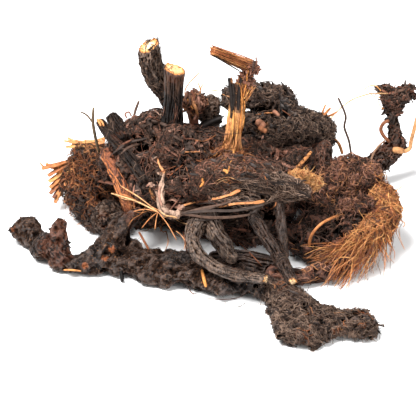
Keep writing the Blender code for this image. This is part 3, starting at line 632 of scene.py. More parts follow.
@dataclass(frozen=True)
class Fibre(Finish):
    """Root hair and chips: each one takes a tone of its own from a row of tones."""

    tones: tuple[Tone, ...] = (Tone.PEAT, Tone.UMBER, Tone.DUN)
    dark: float = 1.4

    MOTTLE_SIZE: ClassVar[float] = 1.6
    FINE_SIZE: ClassVar[float] = 0.5
    FINE_DEPTH: ClassVar[float] = 0.1

    def write(self) -> bpy.types.Material:
        """Writes the fibres' nodes, with more of the first tones than of the last.

        Returns:
            The material.
        """
        nodes = Nodes(self.name, 0.6)
        last = max(1, len(self.tones) - 1)
        stops = [(1 - (1 - index / last) ** self.dark, tone) for index, tone in enumerate(self.tones)]
        body = nodes.ramp(nodes.geometry.outputs["Random Per Island"], *stops)
        mottle = nodes.ramp(nodes.noise(self.MOTTLE_SIZE, 4.0, 0.7), (0.30, 0.35), (0.60, 1.0))
        body = nodes.mix(1.0, body, mottle, "MULTIPLY")
        nodes.relief(nodes.noise(self.FINE_SIZE, 3.0), self.FINE_DEPTH, 0.5)
        return nodes.paint(body)


@dataclass(frozen=True)
class Wood(Finish):
    """Split wood: pale and dark streaks drawn out along the grain."""

    along: Spot = (0.0, 0.0, 1.0)
    deep: Tone = Tone.UMBER
    base: Tone = Tone.ORANGE
    light: Tone = Tone.AMBER
    shade: Tone = Tone.PEAT
    shaded: float = 0.5
    grain: float = 0.8
    zones: tuple[Zone, ...] = ()

    STREAK_LENGTH: ClassVar[float] = 12.0
    STREAK_DEPTH: ClassVar[float] = 0.5
    STAIN_LENGTH: ClassVar[float] = 3.0
    STAIN_SIZE: ClassVar[float] = 5.0
    # Painted shade: the stored height ramp darkens the grooves.
    WORN: ClassVar[tuple[Pixel, ...]] = ((0.25, 0.15), (0.46, 0.75), (0.56, 1.0))

    def write(self) -> bpy.types.Material:
        """Writes the wood's nodes.

        Returns:
            The material.
        """
        nodes = Nodes(self.name, 0.7)
        streaks = nodes.noise(self.grain, 6.0, 0.7, nodes.stretched(self.along, self.STREAK_LENGTH))
        body = nodes.ramp(streaks, (0.32, self.deep), (0.46, self.base), (0.64, self.light))
        stains = nodes.noise(self.STAIN_SIZE, 4.0, 0.6, nodes.stretched(self.along, self.STAIN_LENGTH))
        edge = 0.72 - 0.4 * self.shaded
        body = nodes.mix(nodes.ramp(stains, (edge, 0.0), (edge + 0.08, 0.9)), body, self.shade)
        body = nodes.zoned(body, self.zones)
        # Painted shade in the grooves, read from the stored height.
        body = nodes.mix(1.0, body, nodes.ramp(nodes.height(), *self.WORN), "MULTIPLY")
        nodes.relief(streaks, self.STREAK_DEPTH, 0.8)
        return nodes.paint(body)


@dataclass(frozen=True)
class Pith(Finish):
    """The cut end of a stem: cream and porous inside an orange ring, with painted shade in its pores."""

    centre: Spot = (0.0, 0.0, 0.0)
    reach: float = 4.0
    heart: Tone = Tone.CREAM

    PORE_SIZE: ClassVar[float] = 0.8
    PORE_DEPTH: ClassVar[float] = 0.5

    def write(self) -> bpy.types.Material:
        """Writes the cut's nodes.

        Returns:
            The material.
        """
        nodes = Nodes(self.name, 0.8)
        ring = nodes.away_from(at(*self.centre), self.reach)
        body = nodes.ramp(ring, (0.0, self.heart), (0.62, Tone.STRAW), (0.85, Tone.ORANGE),
                          (1.0, Tone.UMBER))
        pores = nodes.noise(self.PORE_SIZE, 4.0, 0.7)
        # Painted shade in the pores: the low spots of the pore noise are darkened.
        painted_pore_shade = nodes.ramp(pores, (0.36, 0.25), (0.50, 1.0))
        nodes.relief(pores, self.PORE_DEPTH, 0.8)
        return nodes.paint(nodes.mix(1.0, body, painted_pore_shade, "MULTIPLY"))


@dataclass(frozen=True)
class Paper(Finish):
    """The floor of the studio: plain and pale."""

    def write(self) -> bpy.types.Material:
        """Writes the floor's nodes.

        Returns:
            The material.
        """
        nodes = Nodes(self.name, 0.9)
        tint = nodes.noise(60.0, 2.0)
        return nodes.paint(nodes.ramp(tint, (0.0, 0.93), (1.0, 0.95)))


class Slot(Enum):
    """The record's material slots."""

    EARTH = "earth"
    BARK = "bark"
    RUST = "rust"
    TAN = "tan"
    STRAW = "straw"
    COPPER = "copper"
    WOOD = "wood"


def dress(obj: bpy.types.Object, finish: Finish, slot: Slot, *nodes: str) -> bpy.types.Object:
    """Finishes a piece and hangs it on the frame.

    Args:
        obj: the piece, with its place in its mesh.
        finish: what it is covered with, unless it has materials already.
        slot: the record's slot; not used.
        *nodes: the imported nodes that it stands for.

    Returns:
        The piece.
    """
    if not obj.data.materials:
        obj.data.materials.append(finish.material())
    obj.data.shade_smooth()
    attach(obj, BODY)
    if nodes:
        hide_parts(*nodes)
    LOG.info("%s: %d faces", obj.name, len(obj.data.polygons))
    return obj


class Noise(Enum):
    """Blender's textures that press relief into a surface."""

    LUMPS = "CLOUDS"
    RIDGES = "MUSGRAVE"


@dataclass(frozen=True)
class Relief:
    """One layer of relief, with its sizes in millimetres."""

    kind: Noise
    size: float
    height: float
    stretch: Spot = (1.0, 1.0, 1.0)
    along: Spot = (0.0, 0.0, 1.0)
    level: float = 0.56

    def press(self, obj: bpy.types.Object) -> None:
        """Moves the surface in and out by the layer's noise.

        Args:
            obj: the body.
        """
        texture = bpy.data.textures.new(self.kind.name.lower(), self.kind.value)
        texture.noise_scale = 1.0
        if self.kind is Noise.LUMPS:
            texture.noise_depth = 3
        if self.kind is Noise.RIDGES:
            texture.musgrave_type = "RIDGED_MULTIFRACTAL"
            texture.octaves = 3.0
            texture.dimension_max = 0.8
            texture.noise_intensity = 0.6
        bpy.ops.object.select_all(action="DESELECT")
        bpy.ops.object.empty_add(location=(0, 0, 0))
        guide = bpy.context.object
        guide.scale = Vector(self.stretch) * self.size * MM
        guide.rotation_euler = Vector((0, 0, 1)).rotation_difference(Vector(self.along)).to_euler()
        bpy.context.view_layer.update()
        Bench.modify(obj, "DISPLACE", texture=texture, texture_coords="OBJECT",
                     texture_coords_object=guide, strength=self.height * MM, mid_level=self.level)
        bpy.data.objects.remove(guide)
        bpy.data.textures.remove(texture)


class Section(Enum):
    """Outlines that a fibre, straw or strip carries along its path."""

    HAIR = "hair"
    STALK = "stalk"
    STRIP = "strip"
    BLADE = "blade"

    def outline(self) -> list[Pixel]:
        """Gives the outline's corners, about one unit from its middle.

        Returns:
            The corners in order.
        """
        if self is Section.STRIP:
            return [(-1.0, 0.0), (0.0, -0.16), (1.0, 0.0), (0.0, 0.16)]
        if self is Section.BLADE:
            return [(-1.0, 0.22), (-0.5, -0.02), (0.0, -0.14), (0.5, -0.02), (1.0, 0.22),
                    (0.5, 0.16), (0.0, 0.06), (-0.5, 0.16)]
        sides = 3 if self is Section.HAIR else 7
        turns = [math.tau * index / sides for index in range(sides)]
        return [(math.cos(turn), math.sin(turn)) for turn in turns]


class Fibres:
    """Fibres drawn along many paths as one curve, then made one mesh."""

    POINTED = 0.15
    ROUNDED = 0.4
    SWELL = (0.12, 0.8)

    def __init__(self, name: str, section: Section = Section.HAIR) -> None:
        """Starts an empty curve that sweeps one outline.

        Args:
            name: the piece's name.
            section: the outline of every fibre.
        """
        self.name = name
        outline = bpy.data.curves.new("outline", "CURVE")
        corners = section.outline()
        spline = outline.splines.new("POLY")
        spline.points.add(len(corners) - 1)
        for point, (x, y) in zip(spline.points, corners):
            point.co = (x * MM, y * MM, 0.0, 1.0)
        spline.use_cyclic_u = True
        self.section = Bench.hang("outline", outline)
        self.curve = bpy.data.curves.new(name, "CURVE")
        self.curve.dimensions = "3D"
        self.curve.bevel_mode = "OBJECT"
        self.curve.bevel_object = self.section
        if section in (Section.STRIP, Section.BLADE):
            self.curve.twist_mode = "Z_UP"

    def add(self, path: Sequence[Vector], radius: float, blunt: float = 0.0,
            tilt: float = 0.0) -> None:
        """Draws one fibre, thick in the middle and closed to a point at both ends.

        Args:
            path: its points in metres, at least three.
            radius: its largest radius, or half its width, in millimetres.
            blunt: how thick it stays up to its ends, from 0 to 1.
            tilt: how far the outline is turned about the path, in degrees.
        """
        reach = max(self.POINTED, self.ROUNDED * blunt) * radius * MM
        spots = [path[0] + (path[0] - path[1]).normalized() * reach, *path,
                 path[-1] + (path[-1] - path[-2]).normalized() * reach]
        last = len(path) - 1
        for spot in spots:
            spot.z = max(spot.z, radius * MM)
        first, rest = self.SWELL
        swell = [blunt + (1.0 - blunt) * math.sin(math.pi * (first + rest * i / last)) ** 0.5
                 for i in range(last + 1)]
        spline = self.curve.splines.new("POLY")
        spline.points.add(len(spots) - 1)
        for point, spot, share in zip(spline.points, spots, (0.0, *swell, 0.0)):
            point.co = (*spot, 1.0)
            point.radius = radius * share
            point.tilt = math.radians(tilt)

    def mesh(self) -> bpy.types.Object:
        """Turns the curve into a mesh whose fibres are closed at their ends.

        Returns:
            The piece.
        """
        obj = Bench.hang(self.name, self.curve)
        Bench.only(obj)
        bpy.ops.object.convert(target="MESH")
        obj = bpy.context.object
        bpy.data.objects.remove(self.section)
        Bench.merge(obj, MERGE / 10, outwards=True)
        return obj


class Hide:
    """The surface of a finished body, on which fibres and chips lie."""

    GROUND = 1.5 * MM
    UNDER = -0.4
    AWAY = -0.1
    BEHIND = 0.4
    HOLLOW = 0.36
    FILLING = 4.0
    SPARSE = 0.12
    FADE = (1.6, 1.2)

    def __init__(self, body: bpy.types.Object, eye: Eye) -> None:
        """Reads a body's surface.

        Args:
            body: the finished body.
            eye: the camera, towards which the cover is denser.
        """
        self.tree = BVHTree.FromObject(body, bpy.context.evaluated_depsgraph_get())
        faces = body.data.polygons
        self.centres = Bench.read(faces, "center")
        self.ways = Bench.read(faces, "normal")
        areas = Bench.read(faces, "area", 1).ravel()
        weight = areas * np.where(self.ways @ np.array(eye.back()) > self.AWAY, 1.0, self.BEHIND)
        heights = Bench.read(body.data.attributes[HEIGHT].data, "value", 1).ravel()
        corners = np.array([face.vertices[0] for face in faces])
        weight *= np.clip(self.FILLING * (heights[corners] - self.HOLLOW), self.SPARSE, 1.0)
        weight[(self.ways[:, 2] < self.UNDER) & (self.centres[:, 2] < self.GROUND)] = 0.0
        self.weight = weight

    def pick(self, rng: random.Random, count: int, near: Spot | None = None,
             within: float = 0.0) -> list[tuple[Vector, Vector]]:
        """Picks spots spread over the surface.

        Args:
            rng: the seeded source of chance.
            count: how many spots.
            near: the middle of the stretch to pick from, or None for all of it.
            within: how far from there the stretch reaches, in millimetres.

        Returns:
            Pairs of a spot and the direction that the surface faces there.
        """
        weight = self.weight
        if near is not None:
            gaps = np.linalg.norm(self.centres - np.array(at(*near)), axis=1)
            full, fall = self.FADE
            weight = weight * np.clip(full - fall * gaps / (within * MM), 0.0, 1.0)
        heap = np.cumsum(weight)
        found = []
        for _ in range(count):
            index = min(int(np.searchsorted(heap, rng.random() * heap[-1])), len(heap) - 1)
            found.append((Vector(self.centres[index]), Vector(self.ways[index])))
        return found

    def drop(self, spot: Vector) -> tuple[Vector, Vector]:
        """Gives the nearest spot of the surface and the way it faces."""
        found, way, _, _ = self.tree.find_nearest(spot)
        return found, way


def scatter(rng: random.Random, size: float) -> Vector:
    """Gives a chance move of about that size."""
    return Vector((rng.gauss(0, size), rng.gauss(0, size), rng.gauss(0, size)))


def heading(comb: Spot, way: Vector, rng: random.Random) -> Vector:
    """Gives a direction that lies flat on a surface.

    Args:
        comb: the direction that is leant to; its length is how strongly.
        way: the way the surface faces.
        rng: the seeded source of chance.

    Returns:
        A direction of length one.
    """
    drift = scatter(rng, 1.0) + Vector(comb)
    flat = drift - way * drift.dot(way)
    return flat.normalized() if flat.length > 0 else way.orthogonal().normalized()


class Cover:
    """Fibres that cover a body, with their sizes in millimetres."""

    finish: Finish
    section: Section = Section.HAIR

    def lay(self, hide: Hide, name: str, slot: Slot) -> bpy.types.Object:
        """Lays the fibres over a surface.

        Args:
            hide: the surface.
            name: the piece's name.
            slot: the record's slot.

        Returns:
            The piece.
        """
        fibres = Fibres(name, self.section)
        self.draw(fibres, hide, random.Random(name))
        return dress(fibres.mesh(), self.finish, slot)

    def draw(self, fibres: Fibres, hide: Hide, rng: random.Random) -> None:
        """Draws the fibres one by one."""
        raise NotImplementedError


@dataclass(frozen=True)
class Coat(Cover):
    """Fibres matted down on a body."""

    count: int
    length: tuple[float, float]
    radius: float
    finish: Finish
    curl: float = 25.0
    lift: float = 0.5
    tip: float = 0.3
    comb: Spot = (0.0, 0.0, 0.0)
    steps: int = 6
    near: Spot | None = None
    within: float = 0.0
    section: Section = Section.HAIR
    lock: int = 3
    spread: float = 0.7

    SHIFTED: ClassVar[float] = 1.0
    WANDER: ClassVar[float] = 0.5
    THICKNESS: ClassVar[Pixel] = (0.6, 1.3)

    def draw(self, fibres: Fibres, hide: Hide, rng: random.Random) -> None:
        """Draws locks of fibres that lie along the surface.

        Args:
            fibres: the curve to draw them on.
            hide: the surface.
            rng: the seeded source of chance.
        """
        for spot, way in hide.pick(rng, self.count // self.lock, self.near, self.within):
            ahead = heading(self.comb, way, rng)
            turn = rng.gauss(0.0, self.curl)
            for _ in range(self.lock):
                beside = way.cross(ahead) * rng.gauss(0.0, self.spread)
                start, facing = hide.drop(spot + (beside + ahead * rng.gauss(0.0, self.SHIFTED)) * MM)
                path = self.walk(hide, start, facing, ahead.copy(), turn, rng)
                fibres.add(path, self.radius * rng.uniform(*self.THICKNESS))

    def walk(self, hide: Hide, spot: Vector, way: Vector, ahead: Vector, turn: float,
             rng: random.Random) -> list[Vector]:
        """Walks one fibre over the surface.

        Args:
            hide: the surface.
            spot: where it starts.
            way: the way the surface faces there.
            ahead: the direction in which it sets out.
            turn: how far it turns at each step, in degrees.
            rng: the seeded source of chance.

        Returns:
            The fibre's points.
        """
        stride = rng.uniform(*self.length) / self.steps * MM
        path = [spot - way * self.radius * MM]
        for step in range(1, self.steps + 1):
            turn += rng.gauss(0.0, self.WANDER * self.curl)
            ahead.rotate(Quaternion(way, math.radians(turn)))
            spot, way = hide.drop(spot + ahead * stride)
            ahead = (ahead - way * ahead.dot(way)).normalized()
            share = step / self.steps
            height = self.lift * math.sin(math.pi * share) + self.tip * share ** 3
            path.append(spot + way * height * MM)
        return path


@dataclass(frozen=True)
class Fringe(Cover):
    """Loose hairs that stand off a body."""

    count: int
    length: tuple[float, float]
    radius: float
    finish: Finish
    curl: float = 18.0
    lean: Spot = (0.0, 0.0, 0.0)
    outwards: float = 0.6
    steps: int = 7
    near: Spot | None = None
    within: float = 0.0

    SUNK: ClassVar[float] = 0.4
    DRIFT: ClassVar[float] = 0.4
    WANDER: ClassVar[float] = 0.5
    THICKNESS: ClassVar[Pixel] = (0.7, 1.2)

    def draw(self, fibres: Fibres, hide: Hide, rng: random.Random) -> None:
        """Draws hairs that grow out of the surface.

        Args:
            fibres: the curve to draw them on.
            hide: the surface.
            rng: the seeded source of chance.
        """
        for spot, way in hide.pick(rng, self.count, self.near, self.within):
            drift = scatter(rng, self.DRIFT)
            ahead = (way * self.outwards + Vector(self.lean) + drift).normalized()
            axis = scatter(rng, 1).normalized()
            turn = rng.gauss(0.0, self.curl)
            stride = rng.uniform(*self.length) / self.steps * MM
            path = [spot - way * self.SUNK * MM]
            for _ in range(self.steps):
                turn += rng.gauss(0.0, self.WANDER * self.curl)
                ahead.rotate(Quaternion(axis, math.radians(turn)))
                spot = spot + ahead * stride
                path.append(spot)
            fibres.add(path, self.radius * rng.uniform(*self.THICKNESS))


@dataclass(frozen=True)
class Tassel(Cover):
    """Long strands that hang from one line to another."""

    count: int
    roots: tuple[Spot, Spot]
    tips: tuple[Spot, Spot]
    radius: float
    finish: Finish
    bow: Spot = (0.0, -2.4, 2.0)
    loose: float = 1.6
    wave: float = 0.5

    TIPS_LOOSER: ClassVar[float] = 1.4
    REACHES: ClassVar[Pixel] = (0.45, 1.0)
    BOWS: ClassVar[Pixel] = (0.2, 1.2)
    BENDS: ClassVar[Pixel] = (0.3, 0.65)
    THICKNESS: ClassVar[Pixel] = (0.7, 1.2)

    def draw(self, fibres: Fibres, hide: Hide, rng: random.Random) -> None:
        """Draws strands that leave the surface.

        Args:
            fibres: the curve to draw them on.
            hide: the surface.
            rng: the seeded source of chance.
        """
        for _ in range(self.count):
            share = rng.random()
            ends = [at(*pair[0]).lerp(at(*pair[1]), share) for pair in (self.roots, self.tips)]
            root = hide.drop(ends[0] + scatter(rng, self.loose) * MM)[0]
            tip = ends[1] + scatter(rng, self.TIPS_LOOSER * self.loose) * MM
            tip = root.lerp(tip, rng.uniform(*self.REACHES))
            middles = [root.lerp(tip, part) + Vector(self.bow) * rng.uniform(*self.BOWS) * MM
                       + scatter(rng, self.wave) * MM for part in self.BENDS]
            path = smooth_path([root, *middles, tip], 3)
            fibres.add(path, self.radius * rng.uniform(*self.THICKNESS))


@dataclass(frozen=True)
class Chips:
    """Curled chips of bark scattered on a body, with their sizes in millimetres."""

    count: int
    length: tuple[float, float]
    width: tuple[float, float]
    finish: Finish
    comb: Spot = (0.0, 0.0, 0.0)
    tilt: float = 25.0
    near: Spot | None = None
    within: float = 0.0

    GRID: ClassVar[tuple[int, int]] = (4, 2)
    TAPER: ClassVar[float] = 1.3
    WAVE: ClassVar[Pixel] = (0.12, 7.0)
    CURLED: ClassVar[Pixel] = (0.5, 0.45)
    THICK: ClassVar[float] = 0.1
    RAISED: ClassVar[float] = 0.2

    def pattern(self) -> tuple[np.ndarray, list[list[int]]]:
        """Models one chip, a unit long and wide: a grid, tapered, curled and thickened.

        Returns:
            Its points, and each face as a list of points.
        """
        bpy.ops.object.select_all(action="DESELECT")
        columns, rows = self.GRID
        bpy.ops.mesh.primitive_grid_add(x_subdivisions=columns, y_subdivisions=rows, size=1.0)
        chip = bpy.context.object
        wave, turns = self.WAVE
        lengthwise, crosswise = self.CURLED
        for point in chip.data.vertices:
            x, y = point.co.x, point.co.y
            point.co.y = y * (1.0 - self.TAPER * x * x) + wave * math.sin(turns * x)
            point.co.z = lengthwise * x * x + crosswise * y * y
        Bench.modify(chip, "SOLIDIFY", thickness=self.THICK, offset=0.0)
        spots = Bench.points(chip)
        faces = [list(face.vertices) for face in chip.data.polygons]
        bpy.data.objects.remove(chip)
        return spots, faces

    def lay(self, hide: Hide, name: str, slot: Slot) -> bpy.types.Object:
        """Scatters copies of the chip over a surface.

        Args:
            hide: the surface.
            name: the piece's name.
            slot: the record's slot.

        Returns:
            The piece.
        """
        rng = random.Random(name)
        spots, faces = self.pattern()
        every_spot = []
        every_face = []
        for spot, way in hide.pick(rng, self.count, self.near, self.within):
            ahead = heading(self.comb, way, rng)
            ahead.rotate(Quaternion(way.cross(ahead), -math.radians(rng.uniform(0, self.tilt))))
            side = way.cross(ahead).normalized()
            up = ahead.cross(side)
            length, width = rng.uniform(*self.length) * MM, rng.uniform(*self.width) * MM
            basis = np.array([ahead * length, side * width, up * width])
            placed = spots @ basis + np.array(spot + way * self.RAISED * MM)
            placed[:, 2] = np.maximum(placed[:, 2], 0.0)
            first = len(every_spot) * len(spots)
            every_spot.append(placed)
            every_face += [[first + corner for corner in face] for face in faces]
        mesh = bpy.data.meshes.new(name)
        mesh.from_pydata(np.concatenate(every_spot).tolist(), [], every_face)
        return dress(Bench.hang(name, mesh), self.finish, slot)


@dataclass(frozen=True)
class Ridges:
    """Lengthwise ridges that follow a root's or stem's own routes."""

    SUNK: ClassVar[float] = 0.45
    SHARP: ClassVar[float] = 2.2
    FINER: ClassVar[float] = 2.3
    SHARES: ClassVar[Pixel] = (0.7, 0.3)
    APART: ClassVar[float] = 40.0
    STEPS: ClassVar[int] = 5

    routes: tuple[tuple[Spot, ...], ...]
    spacing: float = 1.0
    length: float = 9.0
    height: float = 0.8

    def press(self, obj: bpy.types.Object) -> None:
        """Raises the ridges on a piece, along the route nearest to each point.

        Args:
            obj: the piece.
        """
        spots = Bench.points(obj)
        middles, tangents, firsts, seconds, runs = [], [], [], [], []
        for number, route in enumerate(self.routes):
            path = smooth_path([at(*spot) for spot in route], self.STEPS)
            run = self.APART * number
            across = (path[1] - path[0]).orthogonal().normalized()
            for index, middle in enumerate(path):
                ahead = path[min(index + 1, len(path) - 1)] - path[max(index - 1, 0)]
                ahead.normalize()
                across = (across - ahead * across.dot(ahead)).normalized()
                run += (middle - path[max(index - 1, 0)]).length / MM
                middles.append(middle[:])
                tangents.append(ahead[:])
                firsts.append(across[:])
                seconds.append(ahead.cross(across)[:])
                runs.append(run)
        middles = np.array(middles)
        nearest = np.array([np.argmin(((middles - spot) ** 2).sum(1)) for spot in spots])
        away = (spots - middles[nearest]) / MM
        first = (away * np.array(firsts)[nearest]).sum(1) / self.spacing
        second = (away * np.array(seconds)[nearest]).sum(1) / self.spacing
        along = (np.array(runs)[nearest] + (away * np.array(tangents)[nearest]).sum(1)) / self.length
        rise = [self.height_at(Vector(place)) for place in zip(first, second, along)]
        Bench.move(obj, spots + Bench.normals(obj) * np.array(rise)[:, None] * MM)

    def height_at(self, place: Vector) -> float:
        """Gives the height of the ridges at a place measured in ridges.

        Args:
            place: two steps across the route and one along it.

        Returns:
            The height in millimetres.
        """
        coarse, fine = self.SHARES
        crest = 1.0 - self.SHARP * abs(noise.noise(place))
        return self.height * (coarse * crest + fine * noise.noise(place * self.FINER) - self.SUNK)


@dataclass(frozen=True)
class Piece:
    """What a group builds under the name of its field."""

    name: str = field(default="", kw_only=True)


@dataclass(frozen=True)
class Body(Piece):
    """A grown body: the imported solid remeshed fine, pressed with relief and covered."""

    finish: Finish
    slot: Slot
    voxel: float = 0.6
    soften: int = 5
    reliefs: tuple[Relief | Ridges, ...] = ()
    covers: tuple[Cover | Chips, ...] = ()

    def build(self, eye: Eye) -> bpy.types.Object:
        """Makes the body and what covers it.

        Args:
            eye: the camera, towards which the cover is denser.

        Returns:
            The body itself.
        """
        obj = self.grow()
        self.open_cut(obj)
        dress(obj, self.finish, self.slot, self.name)
        self.cover(obj, eye)
        return obj

    def open_cut(self, obj: bpy.types.Object) -> None:
        """Leaves the body whole: only a stem has a cut end."""

    def grow(self) -> bpy.types.Object:
        """Makes the body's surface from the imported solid.

        Returns:
            The body, without its finish.
        """
        obj = Bench.copy_node(self.name, self.name + "_bark")
        Bench.modify(obj, "REMESH", mode="VOXEL", voxel_size=self.voxel * MM)
        obj = Bench.keep_largest(obj)
        if self.soften:
            Bench.modify(obj, "SMOOTH", factor=0.5, iterations=self.soften)
        for relief in self.reliefs:
            relief.press(obj)
        Bench.move(obj, Bench.points(obj))
        Bench.mark_heights(obj)
        return obj

    def cover(self, obj: bpy.types.Object, eye: Eye) -> None:
        """Lays fibres, hairs and chips on the body.

        Args:
            obj: the body.
            eye: the camera, towards which the cover is denser.
        """
        hide = Hide(obj, eye)
        for number, cover in enumerate(self.covers):
            kind = type(cover).__name__.lower()
            cover.lay(hide, f"{self.name}_{kind}_{number}", self.slot)


@dataclass(frozen=True)
class CutStem(Body):
    """A stem whose sawn or broken end shows its wood."""

    SLANTED: ClassVar[float] = 6.0
    FACING: ClassVar[float] = 0.55
    BAND: ClassVar[float] = 2.2
    WIDER: ClassVar[float] = 1.35
    ROUGH: ClassVar[float] = 0.45
    COARSE_GRAIN: ClassVar[float] = 1.1
    FINE_GRAIN: ClassVar[float] = 0.5
    FINE_SHARE: ClassVar[float] = 0.6

    cut: Spot = (0.0, 0.0, 0.0)
    cut_way: Spot = (0.0, 0.0, 1.0)
    reach: float = 4.5
    slant: Pixel = (0.0, 0.0)
    heart: Tone = Tone.CREAM

    def open_cut(self, obj: bpy.types.Object) -> None:
        """Gives the faces of the cut end the finish of a cut, and roughens them.

        Args:
            obj: the stem.
        """
        pith = Pith(self.name + "_cut", self.cut, self.reach, self.heart)
        for finish in (self.finish, pith):
            obj.data.materials.append(finish.material())
        middle, way = at(*self.cut), Vector(self.cut_way).normalized()
        inner = set()
        for face in obj.data.polygons:
            gap = face.center - middle
            level = abs(gap.dot(way)) < self.BAND * MM
            inside = gap.length < self.WIDER * self.reach * MM
            if face.normal.dot(way) > self.FACING and level and inside:
                face.material_index = 1
                inner.update(face.vertices)
        for index in inner:
            point = obj.data.vertices[index]
            coarse = noise.noise(point.co / (self.COARSE_GRAIN * MM))
            fine = noise.noise(point.co / (self.FINE_GRAIN * MM))
            point.co += way * self.ROUGH * (coarse + self.FINE_SHARE * fine) * MM
        for point in obj.data.vertices:
            gap = point.co - middle
            near_end = max(0.0, 1.0 + gap.dot(way) / (self.SLANTED * MM))
            if near_end > 0.0 and gap.length < 2 * self.reach * MM:
                rise = self.slant[0] * gap.x + self.slant[1] * gap.y
                point.co += way * rise * min(1.0, near_end)


class Sight:
    """Finds what the camera sees behind a pixel on the dressed bodies."""

    GAPS = (2, 4, 6, 9, 13, 18, 25)
    WAYS = 12

    def __init__(self, eye: Eye, bodies: Iterable[bpy.types.Object]) -> None:
        """Reads the bodies' surfaces.

        Args:
            eye: the camera.
            bodies: the bodies that can be seen.
        """
        graph = bpy.context.evaluated_depsgraph_get()
        self.eye = eye
        self.trees = [BVHTree.FromObject(body, graph) for body in bodies]

    def depth(self, pixel: Pixel) -> float | None:
        """Gives how far away the surface behind a pixel is, or None for the floor."""
        hits = (tree.ray_cast(self.eye.place(), self.eye.ray(pixel)) for tree in self.trees)
        return min((hit[3] for hit in hits if hit[0] is not None), default=None)

    def edge_depth(self, pixel: Pixel) -> float:
        """Gives the depth of the bodies' edge that lies nearest to a pixel.

        Args:
            pixel: a pixel with nothing but floor behind it.

        Returns:
            The depth in metres.
        """
        for gap in self.GAPS:
            for step in range(self.WAYS):
                turn = math.tau * step / self.WAYS
                depth = self.depth((pixel[0] + gap * math.cos(turn), pixel[1] + gap * math.sin(turn)))
                if depth is not None:
                    return depth
        raise ValueError(f"nothing lies near the pixel {pixel}")

    def trace(self, pixels: Sequence[Pixel], lift: float, steps: int = 4) -> list[Vector]:
        """Lays a path traced on the photograph over what is behind it.

        Args:
            pixels: the path's points on the photograph.
            lift: how far in front of the surface it lies, in millimetres.
            steps: how many stretches each span between two points is cut into.

        Returns:
            The path in metres.
        """
        depths = [self.depth(pixel) for pixel in pixels]
        known = [index for index, depth in enumerate(depths) if depth is not None]
        if not known:
            depths[0] = self.edge_depth(pixels[0])
            known = [0]
        for index, depth in enumerate(depths):
            if depth is None:
                depths[index] = depths[min(known, key=lambda other: abs(other - index))]
        flat = smooth_path([Vector((*pixel, depth)) for pixel, depth in zip(pixels, depths)], steps)
        path = []
        for x, y, depth in flat:
            here = self.depth((x, y))
            nearest = depth if here is None else min(depth, here)
            path.append(self.eye.place() + self.eye.ray((x, y)) * (nearest - lift * MM))
        return path


@dataclass(frozen=True)
class Stroke:
    """One fibre, straw or strip traced on the photograph."""

    pixels: tuple[Pixel, ...]
    radius: float
    blunt: float = 0.3
    tilt: float = 0.0
    lift: float = 0.5


@dataclass(frozen=True)
class Strand:
    """One fibre, straw or strip placed in the clump's millimetres."""

    spots: tuple[Spot, ...]
    radius: float
    blunt: float = 0.3
    tilt: float = 0.0


def strokes(*rows: tuple, blunt: float = 0.3, tilt: float = 0.0, lift: float = 0.5) -> list[Stroke]:
    """Makes strokes that share their settings, each from a radius and then its pixels."""
    return [Stroke(row[1:], row[0], blunt, tilt, lift) for row in rows]


@dataclass(frozen=True)
class Tracing(Piece):
    """Strokes and strands of one finish that make one piece."""

    finish: Finish
    slot: Slot
    strokes: tuple[Stroke | Strand, ...]
    section: Section = Section.STALK
    nodes: tuple[str, ...] = ()

    def build(self, sight: Sight) -> bpy.types.Object:
        """Draws the strokes over the bodies.

        Args:
            sight: what the camera sees.

        Returns:
            The piece.
        """
        fibres = Fibres(self.name, self.section)
        for stroke in self.strokes:
            if isinstance(stroke, Strand):
                path = smooth_path([at(*spot) for spot in stroke.spots], 4)
            else:
                path = sight.trace(stroke.pixels, stroke.lift)
            fibres.add(path, stroke.radius, stroke.blunt, stroke.tilt)
        return dress(fibres.mesh(), self.finish, self.slot, *self.nodes)


@dataclass(frozen=True)
class Group:
    """Pieces that belong together, one in each field, built in the order of the fields."""

    def build(self, guide: Eye | Sight) -> list[bpy.types.Object]:
        """Builds the pieces and reports them.

        Args:
            guide: the camera for grown bodies, or what it sees for traced pieces.

        Returns:
            The finished pieces.
        """
        LOG.info("%s", type(self).__name__)
        names = [part.name for part in fields(self)]
        return [replace(getattr(self, name), name=name).build(guide) for name in names]


@dataclass(frozen=True)
class Lamp:
    """One square soft light that points at the clump."""

    name: str
    place: Spot
    side: float
    power: float

    def hang(self) -> None:
        """Hangs the light in the scene."""
        data = bpy.data.lights.new(self.name, "AREA")
        data.size = self.side * MM
        data.energy = self.power
        lamp = Bench.hang(self.name, data)
        lamp.location = at(*self.place)
        lamp.rotation_euler = (-lamp.location).to_track_quat("-Z", "Y").to_euler()


@dataclass(frozen=True)
class Studio:
    """A pale floor under soft light from above and the front left."""

    floor_side: float = 6000.0
    sky: float = 0.5
    lamps: tuple[Lamp, ...] = (Lamp("key", (-240.0, -160.0, 640.0), 340.0, 14.5),
                               Lamp("fill", (420.0, -420.0, 380.0), 400.0, 3.0))

    def build(self) -> None:
        """Lays the floor and hangs the lights."""
        bpy.ops.object.select_all(action="DESELECT")
        bpy.ops.mesh.primitive_plane_add(size=self.floor_side * MM)
        floor = bpy.context.object
        floor.name = "studio_floor"
        floor.data.materials.append(Paper("floor_paper").material())
        world = bpy.data.worlds.new("studio_sky")
        world.use_nodes = True
        world.node_tree.nodes["Background"].inputs["Strength"].default_value = self.sky
        world.node_tree.nodes["Background"].inputs["Color"].default_value = (1.0, 1.0, 1.0, 1.0)
        bpy.context.scene.world = world
        bpy.context.scene.view_settings.view_transform = "Standard"
        for lamp in self.lamps:
            lamp.hang()


